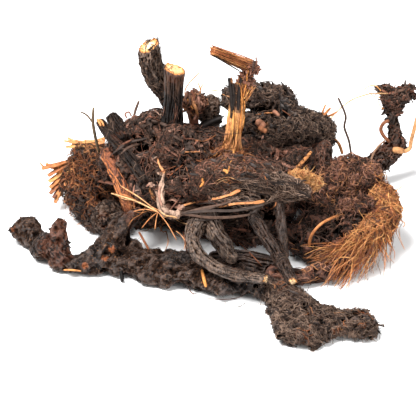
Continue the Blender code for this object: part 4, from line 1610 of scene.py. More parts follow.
EARTH = Bark("earth_bark", Tone.VOID, Tone.LOAM, Tone.UMBER, Tone.CHARCOAL, 0.5, 1.1, zones=(
    Zone((-60.0, -3.0, 17.5), 6.0, Tone.RUST, 0.6), Zone((-61.0, -6.5, 9.0), 8.0, Tone.RUST, 0.5),
    Zone((-81.0, 10.0, 9.0), 2.6, Tone.RUSSET, 0.8), Zone((-28.0, 0.6, 19.5), 6.0, Tone.RUST, 0.45),
    Zone((-38.3, -10.9, 11.4), 1.7, Tone.RUSSET, 0.9), Zone((-41.0, -13.0, 8.5), 1.5, Tone.RUSSET, 0.8),
    Zone((-49.0, -15.0, 6.0), 1.4, Tone.RUSSET, 0.7), Zone((21.8, 25.2, 47.3), 3.2, Tone.TAN, 0.5),
    Zone((32.5, 32.6, 51.1), 5.0, Tone.SLATE, 0.6)))
CROWN = Bark("crown_bark", Tone.VOID, Tone.PEAT, Tone.UMBER, Tone.LOAM, 0.5, 2.4, matt=0.75, zones=(
    Zone((29.6, 24.1, 37.3), 6.0, Tone.RUST, 0.7),))
GREY = Bark("grey_bark", Tone.VOID, Tone.LOAM, Tone.DUN, Tone.UMBER, 0.45, 1.2,
            (1.0, -0.12, -0.25), 5.0, zones=(
                Zone((11.8, -3.0, 46.7), 2.6, Tone.TAN, 0.7), Zone((7.4, -5.1, 43.3), 1.6, Tone.TAN, 0.7),
                Zone((-2.8, -5.0, 38.7), 2.4, Tone.TAN, 0.7),
                Zone((17.0, -6.0, 42.0), 3.0, Tone.UMBER, 0.7)))
RUDDY = Bark("ruddy_bark", Tone.VOID, Tone.PEAT, Tone.RUST, Tone.LOAM, 0.5, 2.0, matt=0.75)
SHAGGY = Bark("shaggy_bark", Tone.VOID, Tone.LOAM, Tone.DUN, Tone.UMBER, 0.4, 1.0,
              (0.0, 0.0, 1.0), 3.5)
KNOBBY = Bark("knobby_bark", Tone.VOID, Tone.UMBER, Tone.DUN, Tone.RUST, 0.5, 1.2)
SLEEK = Bark("sleek_bark", Tone.VOID, Tone.PEAT, Tone.UMBER, Tone.PEAT, 0.3, 1.6,
             (0.0, 0.0, 1.0), 8.0, 0.3, 0.45, 0.35, zones=(
                 # Painted shade: the stem is near black towards its base, where it sinks into the crown's
                 # hollow.
                 Zone((-14.0, 18.0, 46.0), 19.0, Tone.VOID, 1.0),
                 Zone((-13.4, 19.0, 73.0), 2.6, Tone.RUST, 0.3)))
LOOPED = Bark("looped_bark", Tone.VOID, Tone.PEAT, Tone.DUN, Tone.LOAM, 0.5, 1.0,
              (0.6, -0.4, -0.5), 6.0, 0.4, 0.38, 0.7, 0.7)
SLANTED = Bark("slanted_bark", Tone.VOID, Tone.PEAT, Tone.UMBER, Tone.PEAT, 0.5, 1.0,
               (0.4, -0.6, -0.6), 6.0, 0.3, 0.38, 0.6, 0.7)
LEANING = Bark("leaning_bark", Tone.VOID, Tone.PEAT, Tone.LOAM, Tone.RUST, 0.4, 1.2,
               (-0.45, 0.55, 0.4), 6.0, 0.5, 0.5, 0.5, 0.35)
TAN_WOOD = Wood("tan_wood", (-0.3, 0.75, 0.6), Tone.VOID, Tone.RUST, Tone.RUSSET, Tone.VOID, 0.65, 0.6)
FAR_BARK = Bark("far_bark", Tone.VOID, Tone.LOAM, Tone.UMBER, Tone.RUST, 0.5, 1.2)
STUMP_BARK = Bark("stump_bark", Tone.VOID, Tone.PEAT, Tone.UMBER, Tone.LOAM, 0.5, 1.4,
                  (0.0, 0.0, 1.0), 5.0, 0.3)
SPLIT_WOOD = Wood("split_wood", (0.06, 0.08, 1.0), Tone.RUST, Tone.TAN, Tone.HONEY, Tone.PEAT,
                  0.4, zones=(Zone((9.0, 12.0, 68.0), 5.6, Tone.LOAM, 0.95),
                              Zone((12.6, 12.0, 64.0), 3.4, Tone.UMBER, 0.8),
                              Zone((17.6, 16.0, 76.4), 4.4, Tone.RUST, 0.9),
                              Zone((8.7, 15.0, 83.2), 10.0, Tone.RUSSET, 0.6)))
HUSK_WOOD = Wood("husk_wood", (1.0, 0.1, 0.5), Tone.RUST, Tone.COPPER, Tone.HONEY, Tone.UMBER, 0.45)
PALE_WOOD = Wood("pale_wood", (1.0, 0.1, 0.1), Tone.RUST, Tone.TAN, Tone.STRAW, Tone.UMBER, 0.35)
CURL_WOOD = Wood("curl_wood", (0.0, 1.0, 0.0), Tone.PEAT, Tone.RUST, Tone.TAN, Tone.PEAT, 0.45)
SHEATH_WOOD = Wood("sheath_wood", (0.0, -0.5, -0.8), Tone.UMBER, Tone.DUN, Tone.BLUSH, Tone.UMBER,
                   0.4, zones=(Zone((-20.0, 11.0, 41.0), 8.0, Tone.TAN, 0.9),))
MATTED_HAIR = Fibre("matted_hair", (Tone.VOID, Tone.LOAM, Tone.UMBER, Tone.DUN, Tone.DUN), 1.1)
TORN_HAIR = Fibre("torn_hair", (Tone.RUSSET, Tone.TAN, Tone.HONEY, Tone.STRAW), 1.0)
SOIL_HAIR = Fibre("soil_hair", (Tone.VOID, Tone.PEAT, Tone.LOAM, Tone.UMBER, Tone.DUN), 1.5)
GREY_HAIR = Fibre("grey_hair", (Tone.PEAT, Tone.LOAM, Tone.UMBER, Tone.DUN, Tone.BLUSH), 1.1)
CROWN_HAIR = Fibre("crown_hair", (Tone.PEAT, Tone.LOAM, Tone.UMBER, Tone.RUST, Tone.FLAKE), 1.1)
RUDDY_HAIR = Fibre("ruddy_hair", (Tone.PEAT, Tone.LOAM, Tone.RUST, Tone.FLAKE, Tone.TAN), 1.1)
COPPER_HAIR = Fibre("copper_hair", (Tone.UMBER, Tone.RUST, Tone.RUSSET, Tone.COPPER, Tone.TAN,
                                    Tone.HONEY), 0.9)
STRAW_HAIR = Fibre("straw_hair", (Tone.COPPER, Tone.TAN, Tone.STRAW))
TAN_HAIR = Fibre("tan_hair", (Tone.UMBER, Tone.RUSSET, Tone.TAN))
BRIGHT_HAIR = Fibre("bright_hair", (Tone.TAN, Tone.ORANGE, Tone.AMBER))
LEAF_STRIP = Fibre("leaf_strip", (Tone.PEAT, Tone.LOAM, Tone.UMBER, Tone.RUST, Tone.FLAKE), 1.2)
HUSK_STRIP = Fibre("husk_strip", (Tone.RUST, Tone.COPPER, Tone.TAN, Tone.HONEY), 1.0)
CURL_STRIP = Fibre("curl_strip", (Tone.UMBER, Tone.RUST, Tone.FLAKE, Tone.TAN), 1.0)
PEEL_STRIP = Fibre("peel_strip", (Tone.PEAT, Tone.RUST, Tone.RUSSET, Tone.COPPER), 1.0)
RED_STRIP = Fibre("red_strip", (Tone.LOAM, Tone.UMBER, Tone.RUST, Tone.FLAKE), 1.0)
FLAKES = Fibre("flakes", (Tone.PEAT, Tone.UMBER, Tone.RUST, Tone.FLAKE, Tone.DUN), 1.0)
CHIP = Fibre("chip", (Tone.PEAT, Tone.LOAM, Tone.UMBER, Tone.RUST, Tone.FLAKE), 1.2)
DARK_CHIP = Fibre("dark_chip", (Tone.VOID, Tone.PEAT, Tone.LOAM, Tone.CHARCOAL), 1.1)
TORN_STRIP = Fibre("torn_strip", (Tone.RUSSET, Tone.TAN, Tone.STRAW), 1.0)
TORN_WOOD = Fibre("torn_wood", (Tone.LOAM, Tone.RUST, Tone.FLAKE, Tone.RUSSET), 1.2)
SHEATH_PAPER = Fibre("sheath_paper", (Tone.DUN, Tone.FLAKE, Tone.BLUSH), 1.0)
KNOB_WOOD = Fibre("knob_wood", (Tone.FLAKE, Tone.COPPER), 1.0)
TIP_GRAIN = Fibre("tip_grain", (Tone.LOAM, Tone.RUSSET, Tone.COPPER, Tone.HONEY), 1.0)
CHAR_STRIP = Fibre("char_strip", (Tone.VOID, Tone.PEAT, Tone.LOAM))
WIRE_BARK = Fibre("wire_bark", (Tone.UMBER, Tone.LOAM))
PALE_RIND = Fibre("pale_rind", (Tone.STRAW, Tone.TAN))
TAN_RIND = Fibre("tan_rind", (Tone.TAN, Tone.COPPER))
GREY_RIND = Fibre("grey_rind", (Tone.DUN, Tone.TAN))
COPPER_RIND = Fibre("copper_rind", (Tone.RUST, Tone.COPPER))
EDGE_RIND = Fibre("edge_rind", (Tone.TAN, Tone.STRAW))
SPROUT_RIND = Fibre("sprout_rind", (Tone.UMBER, Tone.OLIVE, Tone.TAN))

LUMPY = (Relief(Noise.LUMPS, 6.5, 3.4), Relief(Noise.RIDGES, 3.0, 1.8),
         Relief(Noise.LUMPS, 1.2, 1.0))
GRAINY = (Relief(Noise.LUMPS, 4.0, 1.4), Relief(Noise.RIDGES, 1.6, 0.9),
          Relief(Noise.LUMPS, 0.8, 0.5))
FURROWED = (Relief(Noise.LUMPS, 7.0, 2.6),
            Relief(Noise.RIDGES, 3.4, 0.45, (1.0, 1.0, 3.5), (0.6, 0.5, 0.5)),
            Relief(Noise.LUMPS, 1.1, 0.3), Relief(Noise.LUMPS, 0.6, 0.4))

BACK_COVER = (Coat(340, (3, 8), 0.18, SOIL_HAIR, 35, 0.7, 0.5),
              Fringe(60, (2, 6), 0.14, SOIL_HAIR, 30, (0, 0.4, 0)))
ROOT_COVER = (Coat(160, (3, 7), 0.11, SOIL_HAIR, 10, 0.2, 0.3),)


@dataclass(frozen=True)
class Mats(Group):
    """The matted bodies that hold the clump together, front, sides and back."""

    crown_mat: Body = Body(CROWN, Slot.RUST, 0.75, 4, LUMPY, (
        Coat(2700, (7, 16), 0.13, CROWN_HAIR, 8, 0.8, 0.6, lock=6, spread=0.9),
        Coat(1000, (3, 8), 0.12, SOIL_HAIR, 30, 1.3, 1.2, lock=2),
        Coat(250, (3, 9), 0.42, RED_STRIP, 8, 0.6, 0.9, (0.8, 0, 0.3), 5, section=Section.STRIP),
        Coat(130, (3, 9), 0.13, TAN_HAIR, 12, 0.8, 0.9, (-0.2, -0.8, -1), near=(8.8, 9, 43),
             within=8),
        Chips(850, (1.2, 4.5), (0.4, 1.2), FLAKES, (0.4, 0, 0.2), 40),
        Fringe(260, (2, 6), 0.09, SOIL_HAIR, 28, (0, 0, 0.4))))
    left_mat: Body = Body(EARTH, Slot.EARTH, 0.65, 3, LUMPY, (
        Coat(1400, (4, 9), 0.12, SOIL_HAIR, 32, 1.3, 0.9),
        Coat(650, (3, 8), 0.11, TAN_HAIR, 40, 1.6, 1.2, near=(-48.8, 33, 19), within=13),
        Fringe(240, (3, 7), 0.1, TAN_HAIR, 25, (-0.4, -0.2, -0.1))))
    right_mat: Body = Body(RUDDY, Slot.RUST, 0.7, 3, LUMPY, (
        Coat(1300, (5, 11), 0.13, RUDDY_HAIR, 26, 1.6, 1.2, (0, 0, 0), 8, (55.7, 20.4, 30), 17),
        Coat(700, (3, 6), 0.11, RUDDY_HAIR, 40, 1.2, 1, near=(55.7, 20.4, 30), within=17),
        Coat(1150, (4, 11), 0.13, SOIL_HAIR, 24, 1, 0.7, (-0.6, 0, -0.6)),
        Chips(420, (1.5, 5), (0.4, 1.2), CHIP, (-0.4, 0, -0.6), 35),
        Fringe(260, (2, 6), 0.11, RUDDY_HAIR, 35, (0.3, 0, 0.3))))
    back_mat: Body = Body(CROWN, Slot.RUST, 0.8, 3, LUMPY, (
        Coat(750, (6, 12), 0.2, CROWN_HAIR, 20, 0.9, 0.5),
        Chips(180, (2.5, 6), (0.8, 1.8), CHIP, (0.4, 0, 0.2), 35)))
    torn_husk: Body = Body(RUDDY, Slot.STRAW, 0.45, 2, GRAINY, (
        Coat(760, (2, 6), 0.13, TORN_HAIR, 18, 0.9, 1.5, (1.8, -0.4, 0.1)),
        Fringe(140, (2, 5), 0.12, TORN_HAIR, 20, (0.8, -0.3, -0.2)),
        Coat(60, (3, 7), 0.5, TORN_STRIP, 10, 0.6,
             1.2, (1.6, -0.3, 0.2), 4, section=Section.STRIP, lock=1)))
    copper_tuft: Body = Body(RUDDY, Slot.COPPER, 0.6, 3, LUMPY, (
        Coat(620, (6, 14), 0.18, COPPER_HAIR, 16, 2.2, 2, (-1, -1.2, -1), 10, lock=3, spread=1.2),
        Coat(600, (6, 14), 0.17, COPPER_HAIR, 30, 2.8, 2.2, (-0.3, -0.4, -0.4), 10, (72, 13, 20),
             11, lock=2),
        Fringe(420, (3, 8), 0.13, COPPER_HAIR, 30, (0.1, -0.4, -0.3)),
        Tassel(190, ((54, -8, 7), (69, 0, 14)), ((37, -9, 9), (54, -24, 1.4)),
               0.16, COPPER_HAIR, loose=2.4, wave=1.3),
        Tassel(34, ((56, -8, 6), (63, -6, 9)), ((45, -31, 1.4), (50, -28, 1.4)),
               0.2, COPPER_HAIR, loose=1.6, wave=0.9),
        Tassel(110, ((64, -4, 11), (73, 6, 15)), ((56, -22, 1.6), (76, -9, 4)),
               0.15, COPPER_HAIR, loose=2.4, wave=1.3)))


@dataclass(frozen=True)
class Rhizomes(Group):
    """The knotted rhizomes, the tuber and the bark body."""

    left_tuber: Body = Body(KNOBBY, Slot.EARTH, 0.5, 3, GRAINY, (
        Coat(550, (1.5, 4), 0.13, SOIL_HAIR, 30, 0.4, 0.4),))
    front_rhizome: Body = Body(EARTH, Slot.EARTH, 0.45, 3, FURROWED, (
        Coat(1150, (1, 3), 0.09, SOIL_HAIR, 24, 0.2, 0.3),
        Chips(440, (0.8, 2.6), (0.3, 0.8), DARK_CHIP, (1, -0.6, 0), 25),
        Fringe(200, (1, 3), 0.09, SOIL_HAIR, 25, (0, -0.3, 0))))
    front_right_rhizome: Body = Body(EARTH, Slot.EARTH, 0.5, 3, LUMPY, (
        Coat(1900, (4, 11), 0.12, MATTED_HAIR, 7, 0.4, 0.45, (3.2, -4, 0), lock=5),
        Coat(70, (3, 8), 0.1, TAN_HAIR, 14, 0.8, 0.8, (1.2, -1.6, 0)),
        Chips(240, (1.5, 5), (0.3, 0.9), DARK_CHIP, (1.2, -1.6, 0), 25),
        Fringe(460, (2, 5), 0.1, MATTED_HAIR, 16, (0.3, -0.9, -0.2))))
    upper_rhizome: Body = Body(EARTH, Slot.EARTH, 0.6, 3, LUMPY, (
        Coat(1350, (4, 10), 0.12, MATTED_HAIR, 7, 0.4, 0.45, (3.2, 0, -1), lock=5),
        Coat(500, (3, 7), 0.11, MATTED_HAIR, 22, 1, 1, (1.6, 0, -0.4), near=(46, 30, 44),
             within=14),
        Chips(420, (1.5, 5), (0.4, 1.2), DARK_CHIP, (1.4, 0, -0.3), 30),
        Fringe(380, (2, 5), 0.11, SOIL_HAIR, 26, (0.6, 0, 0.2))))
    back_rhizome_left: Body = Body(EARTH, Slot.EARTH, 0.7, 3, LUMPY, BACK_COVER)
    back_rhizome_right: Body = Body(EARTH, Slot.EARTH, 0.7, 3, LUMPY, BACK_COVER)
    under_root: Body = Body(RUDDY, Slot.RUST, 0.55, 3, FURROWED, (
        Coat(160, (4, 8), 0.18, RUDDY_HAIR, 16, 0.4, 0.4, (2, 0, 0)),))
    far_right_root: Body = Body(FAR_BARK, Slot.RUST, 0.45, 3, GRAINY, (
        Coat(460, (2, 5), 0.14, CROWN_HAIR, 18, 0.4, 0.6, (0.3, 0, 1.6)),
        Chips(90, (2, 5), (0.6, 1.4), CHIP, (0.5, 0, 0.6), 60, (79.4, 72, 37), 9)))
    grey_lump: Body = Body(GREY, Slot.BARK, 0.45, 3, GRAINY, (
        Coat(260, (2, 5), 0.11, MATTED_HAIR, 20, 0.4, 0.5, (0, 0, 1)),))
    dark_stump: Body = Body(STUMP_BARK, Slot.BARK, 0.45, 3, (
        Relief(Noise.LUMPS, 3, 1.2), Relief(Noise.RIDGES, 1.4, 0.8, (1, 1, 4), (0, 0, 1))), (
        Coat(260, (3, 8), 0.11, CROWN_HAIR, 8, 0.2, 0.3, (0, 0, 3), lock=3),
        Coat(420, (3, 7), 0.11, RUDDY_HAIR, 24, 1, 1, near=(45.6, 18, 22), within=9),))
    centre_bark: Body = Body(GREY, Slot.BARK, 0.45, 3, (
        Relief(Noise.LUMPS, 4, 1.6, (2.5, 1, 1), (1, -0.12, -0.25)),
        Relief(Noise.RIDGES, 1.3, 1.1, (1, 1, 5), (1, -0.12, -0.25))), (
        Coat(1100, (5, 12), 0.13, GREY_HAIR, 8, 0.3, 0.4, (4, -0.5, -1), lock=4),
        Coat(420, (6, 12), 0.12, CROWN_HAIR, 10, 0.9, 0.7, (1.6, 0, 0.8), near=(-3, -1, 41),
             within=11),
        Coat(220, (5, 10), 0.12, CROWN_HAIR, 10, 0.9, 0.7, (1.6, 0, 0.2), near=(14, 2, 47.5),
             within=9),
        Coat(50, (4, 9), 0.12, TAN_HAIR, 10, 0.8, 0.8, (1.6, 0, 0.2), near=(9, 0, 47),
             within=9),
        Chips(130, (2, 8), (0.5, 1.3), DARK_CHIP, (3, 0, -0.8), 18)))


@dataclass(frozen=True)
class Roots(Group):
    """The ridged roots of the front, of the ground and of the back."""

    loop_root: CutStem = CutStem(LOOPED, Slot.BARK, 0.38, 4, (
        Ridges((((-2.6, -9, 24.6), (-5.4, -16, 24), (-6.6, -21.6, 21.6), (-4.4, -25, 17.8),
                 (1.8, -28.6, 14), (10.4, -32.6, 12.6), (21.6, -36.4, 13.2)),
                ((0, -10, 24.6), (2.8, -16, 21.6), (6.6, -18.6, 17),
                 (9.4, -20.2, 13.2))), 0.6, 12, 0.34),), ROOT_COVER,
        (23.4, -37, 13.2), (0.94, -0.3, 0.05), 2.4, (0, 0), Tone.CREAM)
    diagonal_root: CutStem = CutStem(SLANTED, Slot.BARK, 0.38, 4, (
        Ridges((((18.2, -11.4, 26.6), (22.4, -15.4, 20.2), (26.8, -20, 15.4), (29.8, -25.4, 12.8),
                 (31.6, -31.4, 11.8), (32.8, -35, 11.4)),
                ((28, -5.2, 28.4), (28.6, -9.4, 24.8), (29.6, -14.2, 18.8),
                 (30.2, -20, 14.8))), 0.6, 12, 0.4),), ROOT_COVER,
        (33, -37, 11.4), (0.2, -1, 0), 2.4, (0, 0), Tone.CREAM)
    ground_root: Body = Body(SLANTED, Slot.BARK, 0.45, 3, (
        Ridges((((3, -8.4, 4.2), (14, -11.4, 6.4), (24, -14.4, 5.6)),), 0.8, 12, 0.7),), ())
    back_root: Body = Body(EARTH, Slot.BARK, 0.5, 3, (
        Ridges((((-34, 55, 3.4), (-20, 63, 3.2), (-2, 68, 3.2), (16, 66, 3),
                 (30, 60, 3.2)),), 0.9, 11, 0.8),), (
        Coat(120, (3, 7), 0.15, SOIL_HAIR, 15, 0.3, 0.4),))


@dataclass(frozen=True)
class Stems(Group):
    """The cut and broken stems that stand out of the crown."""

    stem_tall: CutStem = CutStem(SHAGGY, Slot.BARK, 0.38, 3, (
        Ridges((((-13.6, 31, 42), (-14.2, 31.5, 51), (-16.6, 32, 59), (-21, 32, 66),
                 (-22.9, 32, 73), (-23.7, 32, 80.5)),), 0.8, 5, 0.7),
        Relief(Noise.LUMPS, 1.3, 0.7)), (
        Coat(520, (2.5, 6), 0.14, SOIL_HAIR, 8, 0.2, 0.8, (0, 0, 4)),
        Fringe(60, (1, 3), 0.13, SOIL_HAIR, 15, (0, 0, 0.4))),
        (-23.7, 32, 80.5), (0, 0, 1), 4.3, (0.42, 0.2), Tone.CREAM)
    stem_front: CutStem = CutStem(SLEEK, Slot.BARK, 0.38, 4, (
        Ridges((((-14.4, 22, 42), (-14.4, 22, 53), (-13.8, 22, 63), (-13.3, 22, 75)),),
               0.8, 16, 0.45),), (
        Coat(80, (4, 9), 0.1, CROWN_HAIR, 4, 0.1, 0.2, (0, 0, 5)),),
        (-13.3, 22, 75), (0, 0, 1), 4.5, (-0.3, 0.05), Tone.STRAW)
    stem_dark_a: CutStem = CutStem(LEANING, Slot.BARK, 0.32, 3, (
        Ridges((((-44.3, 31, 47), (-38.1, 23.5, 42.2), (-30.9, 12.5, 39),
                 (-25.6, 4.5, 33.9)),), 0.8, 9, 0.7),), (
        Coat(120, (3, 8), 0.11, SOIL_HAIR, 7, 0.15, 0.4, (2, -3, -1)),),
        (-44.3, 31, 47), (-0.6, 0.65, 0.45), 2, (0, 0), Tone.AMBER)
    stem_dark_b: CutStem = CutStem(LEANING, Slot.BARK, 0.32, 3, (
        Ridges((((-39.5, 33, 48.2), (-36.1, 27.5, 45.6), (-33.1, 22.4, 43.8)),),
               0.8, 9, 0.7),), (
        Coat(120, (3, 7), 0.11, SOIL_HAIR, 7, 0.15, 0.5, (2, -3, -1)),),
        (-39.5, 33, 48.2), (-0.5, 0.75, 0.35), 2.6, (0, 0), Tone.RUST)
    stem_tan_left: Body = Body(TAN_WOOD, Slot.TAN, 0.32, 2, (
        Ridges((((-41.9, 25, 36.3), (-38.8, 17.5, 34), (-35.9, 11.5, 30.4),
                 (-32.9, 5.5, 25.9), (-30.8, 3.5, 19.6)),), 0.6, 16, 0.5),), (
        Coat(40, (5, 12), 0.12, TAN_HAIR, 3, 0.15, 0.5, (1, -2.6, -1.6)),
        Coat(46, (7, 15), 0.4, PEEL_STRIP, 2, 0.08, 0.1, (1.2, -3, -1.9), 6,
             section=Section.STRIP, lock=1)))
    stem_broken: Body = Body(SPLIT_WOOD, Slot.WOOD, 0.34, 2, (
        Ridges((((9.6, 12, 42), (9.9, 12.6, 48.6), (11, 14, 60.9), (12.2, 15, 67), (14.4, 16, 73)),
                ((17.6, 17.6, 77.8), (8.7, 15, 83.2), (1.7, 13, 87.6))), 0.6, 18, 0.7),), (
        Coat(90, (4, 10), 0.12, TAN_HAIR, 3, 0.15, 0.3, (0, 0, 5)),
        Chips(110, (2, 5), (0.5, 1.3), TORN_WOOD,
              (0.8, 0, 0.6), 60, (17.6, 16.2, 75), 4.6),
        Fringe(46, (2, 5), 0.16, RED_STRIP, 14, (0.9, 0, 0.7), 0.6, 7, (17.4, 16, 76.4), 4.2),
        Fringe(170, (2, 7), 0.13, TAN_HAIR, 14, (-0.3, -0.5, -0.7), 0.6, 7, (9.4, 10, 42), 5.5)))
    back_stub: CutStem = CutStem(SHAGGY, Slot.BARK, 0.4, 3, (
        Ridges((((-8, 40, 17), (-9.4, 50, 20), (-12.4, 62, 25.4)),), 0.8, 8, 0.7),), (),
        (-12.4, 62, 25.4), (-0.22, 0.9, 0.4), 3.1, (0, 0), Tone.CREAM)


@dataclass(frozen=True)
class Husks(Group):
    """Torn husks, curled bark and the papery sheath."""

    husk_left: Body = Body(HUSK_WOOD, Slot.TAN, 0.35, 1, (Relief(Noise.RIDGES, 1.6, 0.7),), ())
    husk_upper_left: Body = Body(PALE_WOOD, Slot.STRAW, 0.35, 1, (Relief(Noise.LUMPS, 1.6, 0.6),), ())
    rolled_bark: Body = Body(CURL_WOOD, Slot.RUST, 0.3, 1, (Relief(Noise.LUMPS, 1.6, 0.8),), (
        Coat(70, (3, 8), 0.45, CURL_STRIP, 16, 0.4, 1, (0, 0, 1), 5,
             section=Section.STRIP, lock=1),
        Chips(40, (2, 5), (0.8, 1.8), CHIP, (0, 0, 0.6), 50)))
    straw_sheath: Body = Body(SHEATH_WOOD, Slot.STRAW, 0.3, 2, (
        Ridges((((-20.5, 15.8, 44.1), (-20, 9.3, 39.4), (-17.6, 5.2, 37.6), (-18.3, 2, 35.7),
                 (-18.7, -1.5, 32.2), (-18.7, -4, 27.7), (-16.7, -7, 25.7), (-12.3, -8.6, 25.8),
                 (-9.5, -8, 30)),), 0.6, 12, 0.5), Relief(Noise.LUMPS, 2.2, 0.8)), ())


KNOT = (-19.8, -9.4, 27.6)
BLADE_ROOT = (-11, -12.6, 28.8)


@dataclass(frozen=True)
class Straws(Group):
    """The straws, dry blades and strips that lie over the front."""

    straw_knot: Tracing = Tracing(STRAW_HAIR, Slot.STRAW, (
        Strand((KNOT, (-29.2, -4.8, 30.2), (-38.5, -1, 31.3)), 0.3, 0.4),
        Strand((KNOT, (-27.4, -3.6, 31), (-34.9, 1.5, 33.4)), 0.24, 0.4),
        Strand((KNOT, (-24.8, -7.6, 27.8), (-29.6, -6.6, 26.3)), 0.18),
        Strand((KNOT, (-23, -11, 25.6), (-26.2, -13.4, 22.6)), 0.18),
        Strand((KNOT, (-20.4, -13.2, 26.6), (-20.9, -17, 24.3)), 0.18),
        Strand((KNOT, (-16, -12.4, 23.8), (-12.4, -16, 18.6)), 0.2),
        Stroke(((111, 193), (124, 195), (134, 199), (146, 204), (158, 210)), 0.36, 0.4),
        *strokes((0.16, (113, 194), (124, 199), (137, 201), (148, 205)),
                 (0.22, (120, 185), (128, 191), (139, 197), (149, 205), (160, 211)),
                 (0.16, (134, 211), (141, 213), (149, 211), (156, 212)),
                 (0.2, (158, 209), (165, 215), (173, 217), (180, 222), (187, 224)),
                 (0.15, (153, 211), (149, 218), (143, 220), (139, 226)),
                 (0.16, (154, 211), (153, 218), (156, 224), (155, 230)),
                 (0.14, (156, 226), (150, 228), (145, 232), (140, 231)),
                 (0.2, (158, 224), (162, 231), (167, 236), (168, 243), (165, 251)),
                 (0.16, (160, 224), (168, 224), (174, 230), (176, 237), (180, 245)),
                 (0.16, (158, 224), (163, 218), (171, 216), (179, 219), (185, 224)),
                 (0.15, (167, 229), (170, 235), (173, 241), (170, 248)),
                 (0.15, (176, 231), (181, 235), (185, 242), (184, 250)),
                 (0.14, (111, 193), (118, 199), (124, 207)),
                 (0.14, (146, 206), (141, 214), (133, 219), (128, 226)),
                 (0.14, (160, 212), (163, 222), (160, 232))),
    ), Section.STALK, ("straw_rays",))
    dry_blades: Tracing = Tracing(LEAF_STRIP, Slot.STRAW, (
        Strand((BLADE_ROOT, (-2, -13, 31.6), (6.6, -13.2, 33.6), (11.8, -12.6, 36.4)), 0.5, 0.4, 20),
        Strand((BLADE_ROOT, (0, -14.4, 31), (11, -14.8, 31.4), (21.8, -13.8, 33.4)), 0.6, 0.3, 50),
        Strand((BLADE_ROOT, (-1.2, -15.2, 28.6), (8, -16, 29), (16.5, -15, 29.6)), 0.6, 0.2, 70),
        Stroke(((180, 210), (202, 206), (221, 205)), 0.6, 0.3, 50),
        Stroke(((186, 208), (207, 208), (232, 211)), 0.35, 0.3, 50, 0.6),
        Stroke(((178, 216), (198, 213), (226, 211), (240, 213)), 0.3, 0.3, 40, 0.7),
        Stroke(((190, 206), (212, 203), (240, 209)), 0.3, 0.3, 40, 0.8),
        Stroke(((180, 213), (200, 210), (216, 207)), 0.5, 0.3, 40),
        *strokes((0.5, (180, 218), (202, 216), (223, 214), (244, 216)),
                 (0.4, (184, 221), (206, 220), (228, 217)), blunt=0.2, tilt=60),
        *strokes((0.9, (236, 214), (247, 212), (257, 206)), (0.5, (244, 216), (252, 213), (262, 206)),
                 tilt=40),
        Stroke(((213, 174), (204, 187), (195, 200)), 0.8, 0.5, 30),
        Stroke(((208, 174), (200, 186), (193, 196)), 0.5, 0.4, 30),
        Stroke(((186, 187), (178, 200), (170, 210)), 0.4, 0.3, 30),
    ), Section.BLADE, ("dried_blades",))
    pale_blades: Tracing = Tracing(STRAW_HAIR, Slot.STRAW, (
        Stroke(((182, 206), (196, 202), (218, 198), (229, 195), (239, 191)), 0.5, 0.4, 30, 0.9),
        Stroke(((190, 204), (204, 201), (222, 198)), 0.3, 0.3, 30, 1.1),
        Stroke(((230, 195), (236, 192), (240, 190)), 0.8, 0.4, 30, 1.1),
        Stroke(((219, 207), (234, 204), (249, 203), (263, 202)), 0.5, 0.2, 50, 1),
        Stroke(((254, 203), (260, 202), (264, 201)), 0.7, 0.3, 50, 1.1),
        *strokes((0.35, (212, 185), (218, 180), (227, 177), (234, 179), (242, 183)),
                 (0.25, (214, 187), (221, 181), (230, 179)), lift=0.8),
        Stroke(((262, 173), (265, 176), (266, 180)), 0.35, 0.3, 0, 0.5),
        *strokes((0.6, (150, 187), (152, 192), (156, 199)), (0.4, (149, 188), (152, 196), (155, 202)),
                 tilt=20, lift=0.6),
    ), Section.BLADE)
    sheath_flaps: Tracing = Tracing(SHEATH_PAPER, Slot.STRAW, (
        Stroke(((167, 201), (173, 199), (180, 204)), 1, 0.4, 20, 0.8),
        Stroke(((166, 206), (174, 205), (182, 209)), 1.2, 0.4, 40, 0.6),
        Stroke(((168, 210), (176, 209), (184, 206)), 0.9, 0.4, 60, 0.8),
        Stroke(((164, 184), (161, 194), (164, 204)), 0.7, 0.4, 30, 0.7),
        Stroke(((160, 186), (159, 196), (162, 206)), 0.5, 0.4, 10, 0.7),
        Stroke(((150, 186), (155, 190), (158, 197)), 0.5, 0.4, 10, 0.6),
    ), Section.BLADE)
    long_rootlets: Tracing = Tracing(TAN_HAIR, Slot.TAN, (
        Stroke(((185, 152), (213, 152), (234, 154), (250, 158), (260, 163), (267, 170)), 0.26, 0.5),
        Stroke(((250, 158), (260, 163), (267, 170)), 0.2, 0.5, 0, 0.8),
        *strokes((0.4, (183, 230), (185, 241), (187, 252)),
                 (0.24, (264, 206), (270, 209), (275, 206), (276, 202)),
                 (0.2, (229, 235), (245, 248), (262, 266)), (0.18, (234, 237), (241, 241), (254, 246)),
                 (0.22, (167, 179), (175, 171), (183, 165)), (0.22, (186, 167), (190, 181), (188, 191)),
                 (0.22, (282, 110), (288, 114), (293, 118)), (0.3, (256, 115), (266, 113), (275, 113)),
                 (0.26, (60, 170), (68, 168), (75, 167)), blunt=0.4),
        Stroke(((139, 232), (144, 241), (149, 250)), 0.5, 0.4, 20),
        *strokes((0.2, (176, 166), (166, 170), (160, 172)), (0.2, (195, 140), (205, 141), (216, 135)),
                 (0.2, (216, 131), (226, 134), (240, 133)), (0.2, (166, 158), (170, 148), (172, 139)),
                 (0.2, (150, 161), (161, 157), (173, 159)), (0.2, (196, 160), (206, 164), (214, 171)),
                 blunt=0.4),
    ))
    tan_knobs: Tracing = Tracing(KNOB_WOOD, Slot.WOOD, (
        Stroke(((258, 122), (261, 124), (264, 127)), 1.7, 0.9),
        Stroke(((260, 128), (263, 130), (266, 131)), 1.1, 0.7),
        Stroke(((273, 111), (276, 113), (279, 116)), 0.9, 0.5),
    ))
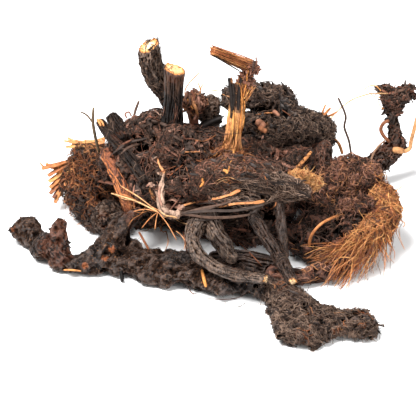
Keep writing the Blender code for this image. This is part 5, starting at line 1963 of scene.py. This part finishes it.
    orange_slivers: Tracing = Tracing(BRIGHT_HAIR, Slot.WOOD, (
        *strokes((0.4, (64, 270), (71, 270), (81, 271)), (0.7, (202, 270), (204, 279), (206, 287))),
        Stroke(((297, 167), (304, 160), (311, 152)), 0.8, 0.5),
        Stroke(((202, 178), (203, 183), (200, 187)), 0.6, 0.3),
        Stroke(((223, 170), (226, 171), (228, 173)), 0.8, 0.6),
        Stroke(((227, 172), (229, 169), (229, 166)), 0.35, 0.3),
        *strokes((0.5, (97, 119), (99, 122), (101, 126)), (0.4, (99, 119), (102, 122), (104, 126)),
                 blunt=0.5, tilt=30),
    ))
    red_strips: Tracing = Tracing(RED_STRIP, Slot.RUST, (
        *strokes((0.9, (98, 181), (106, 182), (114, 184)), (0.8, (99, 186), (106, 188), (113, 188)),
                 blunt=0.4, tilt=30),
        Stroke(((110, 156), (120, 148), (130, 142), (148, 138)), 0.9, 0.3, 30),
        *strokes((0.7, (116, 158), (128, 148), (140, 144)), (0.5, (113, 153), (122, 145), (134, 139)),
                 tilt=40),
        *strokes((1.2, (152, 120), (160, 122), (168, 126)), (1, (154, 126), (158, 132), (160, 138)),
                 blunt=0.4, tilt=20),
        Stroke(((164, 146), (170, 150), (178, 156)), 0.9, 0.4, 30),
        Stroke(((172, 134), (178, 138), (184, 141)), 1, 0.4, 20),
        *strokes((0.9, (206, 131), (214, 131), (225, 130)), (0.7, (204, 138), (212, 135), (222, 136)),
                 blunt=0.4, tilt=30),
        Stroke(((201, 150), (199, 143), (201, 133)), 0.5, 0.3, 30),
        *strokes((1, (281, 162), (288, 166), (297, 167)), (0.9, (288, 170), (292, 172), (296, 172)),
                 blunt=0.5, tilt=30),
        *strokes((1.1, (230, 227), (241, 229), (250, 231)), (1, (236, 235), (247, 237), (258, 237)),
                 (0.8, (227, 224), (237, 222), (247, 224)), blunt=0.4, tilt=20),
        Stroke(((233, 240), (237, 244), (239, 249)), 0.6, 0.3, 20),
        Stroke(((392, 94), (398, 91), (404, 90)), 1.1, 0.4, 20),
        Stroke(((275, 151), (281, 148), (288, 152)), 2, 0.8, 20, 0.4),
        *strokes((0.8, (382, 90), (388, 93), (394, 92)), (0.6, (212, 155), (224, 150), (238, 153)),
                 blunt=0.4, tilt=20),
        *strokes((0.5, (219, 158), (231, 152), (246, 153)), (0.5, (215, 147), (222, 152), (231, 158)),
                 (0.5, (243, 146), (239, 152), (232, 156)), blunt=0.4, tilt=20, lift=0.6),
    ), Section.STRIP)
    husk_strips: Tracing = Tracing(HUSK_STRIP, Slot.TAN, (
        Stroke(((42, 169), (60, 164), (72, 160)), 1.2, 0.3, 20),
        Stroke(((40, 163), (44, 167), (50, 168)), 0.5, 0.2, 20),
        *strokes((1.1, (48, 176), (60, 169), (73, 165)), (1.2, (49, 182), (61, 174), (73, 168)),
                 (1.1, (50, 188), (60, 179), (72, 171)), (1.1, (50, 194), (60, 183), (71, 174)),
                 (0.9, (53, 198), (61, 187), (70, 177)), tilt=25),
        Stroke(((55, 203), (60, 191), (69, 180)), 1, 0.2, 25),
        *strokes((0.7, (64, 141), (79, 143), (98, 141)), (0.9, (66, 147), (82, 147), (97, 147)),
                 (1.1, (78, 144), (90, 144), (104, 143)), blunt=0.4, tilt=20),
    ), Section.BLADE)
    split_strips: Tracing = Tracing(BRIGHT_HAIR, Slot.WOOD, (
        *strokes((0.55, (240, 83), (242, 98), (241, 115), (239, 134)),
                 (0.5, (244, 98), (244, 117), (241, 134)), blunt=0.4, lift=0.6),
        Stroke(((248, 70), (246, 83), (243, 98)), 0.4, 0.3, 0, 0.8),
        Stroke(((255, 87), (250, 95), (246, 101)), 0.7, 0.5, 30, 1.2),
        Stroke(((252, 84), (248, 92), (244, 99)), 0.45, 0.3, 30, 0.9),
        *strokes((0.5, (229, 122), (229, 134), (227, 142)), (0.5, (233, 110), (233, 124), (232, 138)),
                 (0.45, (236, 114), (237, 126), (236, 140)), (0.4, (227, 136), (224, 142), (221, 148)),
                 (0.4, (231, 138), (229, 145), (225, 151)), (0.4, (236, 137), (236, 144), (233, 150)),
                 lift=0.6),
        *strokes((0.4, (225, 145), (219, 152), (210, 158)), (0.4, (231, 147), (228, 155), (221, 161)),
                 (0.35, (237, 147), (239, 155), (245, 161)), (0.35, (234, 149), (233, 157), (229, 164))),
    ), Section.STRIP)
    tip_strips: Tracing = Tracing(TIP_GRAIN, Slot.WOOD, (
        *strokes((0.5, (211, 45), (225, 50), (240, 55), (253, 60)),
                 (0.45, (210, 47), (224, 52), (239, 57), (252, 62)),
                 (0.5, (210, 48), (224, 54), (238, 59), (252, 64)),
                 (0.45, (211, 50), (224, 55), (238, 61), (251, 66)),
                 (0.5, (210, 51), (223, 57), (237, 62), (250, 67)),
                 (0.45, (211, 53), (223, 58), (236, 64), (248, 69)),
                 (0.45, (212, 54), (223, 60), (235, 66), (245, 70)), blunt=0.5, lift=0.4),
    ), Section.STRIP)
    rolled_core: Tracing = Tracing(CURL_STRIP, Slot.RUST, (
        Strand(((-5.6, 31.6, 45), (-6, 32.2, 50), (-6, 32.6, 54.4), (-5.8, 33, 57)), 2.2, 0.7),
        *strokes((0.8, (188, 91), (186, 99), (188, 109), (190, 120)),
                 (0.8, (193, 89), (198, 93), (201, 102), (199, 113)), blunt=0.4, tilt=20, lift=0.6),
        *strokes((0.7, (190, 94), (190, 102), (193, 110), (193, 119)),
                 (0.7, (195, 94), (193, 101), (196, 109), (198, 117)), blunt=0.4, tilt=30, lift=0.8),
        Stroke(((191, 90), (194, 97), (192, 105), (190, 112)), 0.6, 0.4, 30, 0.9),
        Stroke(((198, 96), (199, 104), (197, 112), (194, 120)), 0.7, 0.4, 30, 0.6),
    ))
    dark_strips: Tracing = Tracing(CHAR_STRIP, Slot.BARK, (
        *strokes((0.8, (229, 78), (231, 91), (232, 106), (231, 118)),
                 (0.5, (233, 84), (234, 96), (233, 110)), blunt=0.4, tilt=20, lift=0.6),
        Stroke(((241, 78), (239, 91), (238, 110)), 0.8, 0.4, 20, 0.7),
        Stroke(((212, 55), (226, 63), (241, 72)), 0.6, 0.4, 0, 0.5),
        *strokes((1.6, (200, 127), (211, 121), (222, 117)), (1, (200, 131), (212, 126), (222, 121)),
                 blunt=0.5, tilt=30, lift=0.8),
        *strokes((0.5, (203, 125), (213, 122), (224, 116)), (0.5, (201, 134), (210, 130), (220, 125)),
                 blunt=0.4, tilt=30, lift=1),
        Stroke(((121, 271), (122, 277), (122, 282)), 0.8, 0.6),
    ), Section.STRIP)


@dataclass(frozen=True)
class Rootlets(Group):
    """The wiry rootlets that stand clear of the clump."""

    dark_wire: Tracing = Tracing(WIRE_BARK, Slot.RUST, (
        Strand(((59.2, 27, 27), (57.6, 28.4, 38.4), (55.4, 29.2, 45), (55.8, 29.6, 50.2),
                (52.6, 30, 58)), 0.5, 0.8),), nodes=("wire_dark",))
    arched_rootlet: Tracing = Tracing(PALE_RIND, Slot.STRAW, (
        Strand(((48.6, 38.6, 41.6), (52.8, 41.6, 45.6), (59, 46.6, 48.4), (65.4, 53, 47.6),
                (69.4, 62, 43.6), (76, 69, 40)), 0.3, 0.5),), nodes=("arc_rootlet",))
    tan_rootlets: Tracing = Tracing(TAN_RIND, Slot.TAN, (
        Strand(((50, 36, 37.4), (53.6, 36, 34), (55.4, 35.4, 29.4)), 0.7, 0.8),
        Strand(((40.6, -5, 8), (41.2, -7.4, 15.6), (45.4, -6.2, 20.6), (51.8, 1.4, 19.6)), 0.6, 0.7),
        Strand(((46, 36, 45), (48.4, 36.4, 48.2), (50, 36.6, 50)), 0.6, 0.4),
        Strand(((46.4, 36.4, 45.2), (47, 36.8, 48.6), (48, 37, 51.4)), 0.45, 0.4),
        Strand(((46.4, 36, 45.4), (50.4, 38.4, 45.8), (53, 40.6, 46.2)), 0.5, 0.4),
    ), nodes=("tan_rootlet", "front_arc_rootlet"))
    thin_rootlet: Tracing = Tracing(GREY_RIND, Slot.TAN, (
        Strand(((68.2, 54, 10.4), (69, 53.4, 17.6), (71.2, 55, 21.6), (75, 58.4, 23.6)),
               0.4, 0.5),), nodes=("grey_rootlet",))
    bent_rootlet: Tracing = Tracing(COPPER_RIND, Slot.COPPER, (
        Strand(((78.2, 66.4, 17.2), (75, 66.4, 20.8), (73.4, 66.6, 24.2), (74.6, 67, 27),
                (76.8, 67.6, 27.8)), 0.85, 0.8),), nodes=("copper_rootlet",))
    edge_stalk: Tracing = Tracing(EDGE_RIND, Slot.STRAW, (
        Strand(((80.8, 62, 16.4), (83.4, 63, 15.4), (85.8, 64, 16.4), (86.4, 64.6, 20),
                (87.6, 65.4, 25.6), (88.8, 66, 32)), 0.9, 0.7),
        Strand(((78.6, 62, 16.8), (80.8, 62, 16.6), (82.8, 62.6, 15.8)), 1.4, 0.6),
    ), nodes=("edge_rootlet",))
    forked_sprout: Tracing = Tracing(SPROUT_RIND, Slot.TAN, (
        Strand(((-44.8, 34, 31), (-46, 33, 38), (-46.9, 33, 45.4), (-46.5, 33, 52)), 0.7,
               0.3),
        Strand(((-46.8, 33, 44.6), (-49.2, 33.8, 48), (-52, 34.4, 49.4)), 0.4, 0.3),
    ), nodes=("sprout",))


@dataclass(frozen=True)
class LooseHair(Group):
    """Single hairs that stick out against the ground and the background."""

    loose_pale_hair: Tracing = Tracing(BRIGHT_HAIR, Slot.STRAW, (
        *strokes((0.28, (199, 73), (187, 86), (185, 96), (189, 108), (193, 118)),
                 (0.28, (187, 98), (190, 104), (193, 109)), (0.3, (198, 83), (200, 88), (200, 94)),
                 (0.25, (203, 84), (201, 88), (200, 92)), (0.22, (200, 90), (210, 90), (220, 91)),
                 (0.22, (222, 94), (227, 96), (230, 97)),
                 (0.22, (363, 91), (369, 86), (376, 86), (381, 91)),
                 (0.2, (369, 92), (373, 96), (381, 98)), (0.2, (378, 100), (380, 106), (384, 109)),
                 (0.22, (386, 196), (394, 192), (404, 185)), (0.2, (391, 202), (396, 204), (397, 208)),
                 (0.2, (393, 216), (402, 221), (405, 224), (403, 227)), blunt=0.5),
    ))
    ground_hair: Tracing = Tracing(RED_STRIP, Slot.RUST, (
        *strokes((0.16, (188, 286), (192, 294), (198, 299)),
                 (0.16, (189, 290), (202, 303), (216, 309), (232, 308), (241, 299), (243, 296)),
                 (0.14, (222, 307), (226, 303), (229, 306)), (0.2, (236, 307), (241, 306), (245, 303)),
                 (0.12, (306, 290), (313, 291), (320, 294)), blunt=0.5),
    ))
    red_twig: Tracing = Tracing(RED_STRIP, Slot.RUST, (
        *strokes((0.6, (134, 116), (136, 109), (139, 101)),
                 (0.4, (127, 118), (125, 114), (129, 112), (131, 116)),
                 (0.5, (131, 120), (134, 116), (137, 117)), blunt=0.5),
    ))


def main() -> None:
    """Builds the dressed clump piece by piece."""
    logging.basicConfig(level=logging.INFO, format="%(message)s")
    eye = Eye()
    eye.stand()
    Studio().build()
    grown = (Mats(), Rhizomes(), Roots(), Stems(), Husks())
    bodies = [body for group in grown for body in group.build(eye)]
    sight = Sight(eye, bodies)
    for group in (Straws(), Rootlets(), LooseHair()):
        group.build(sight)


if __name__ == "__main__":
    main()
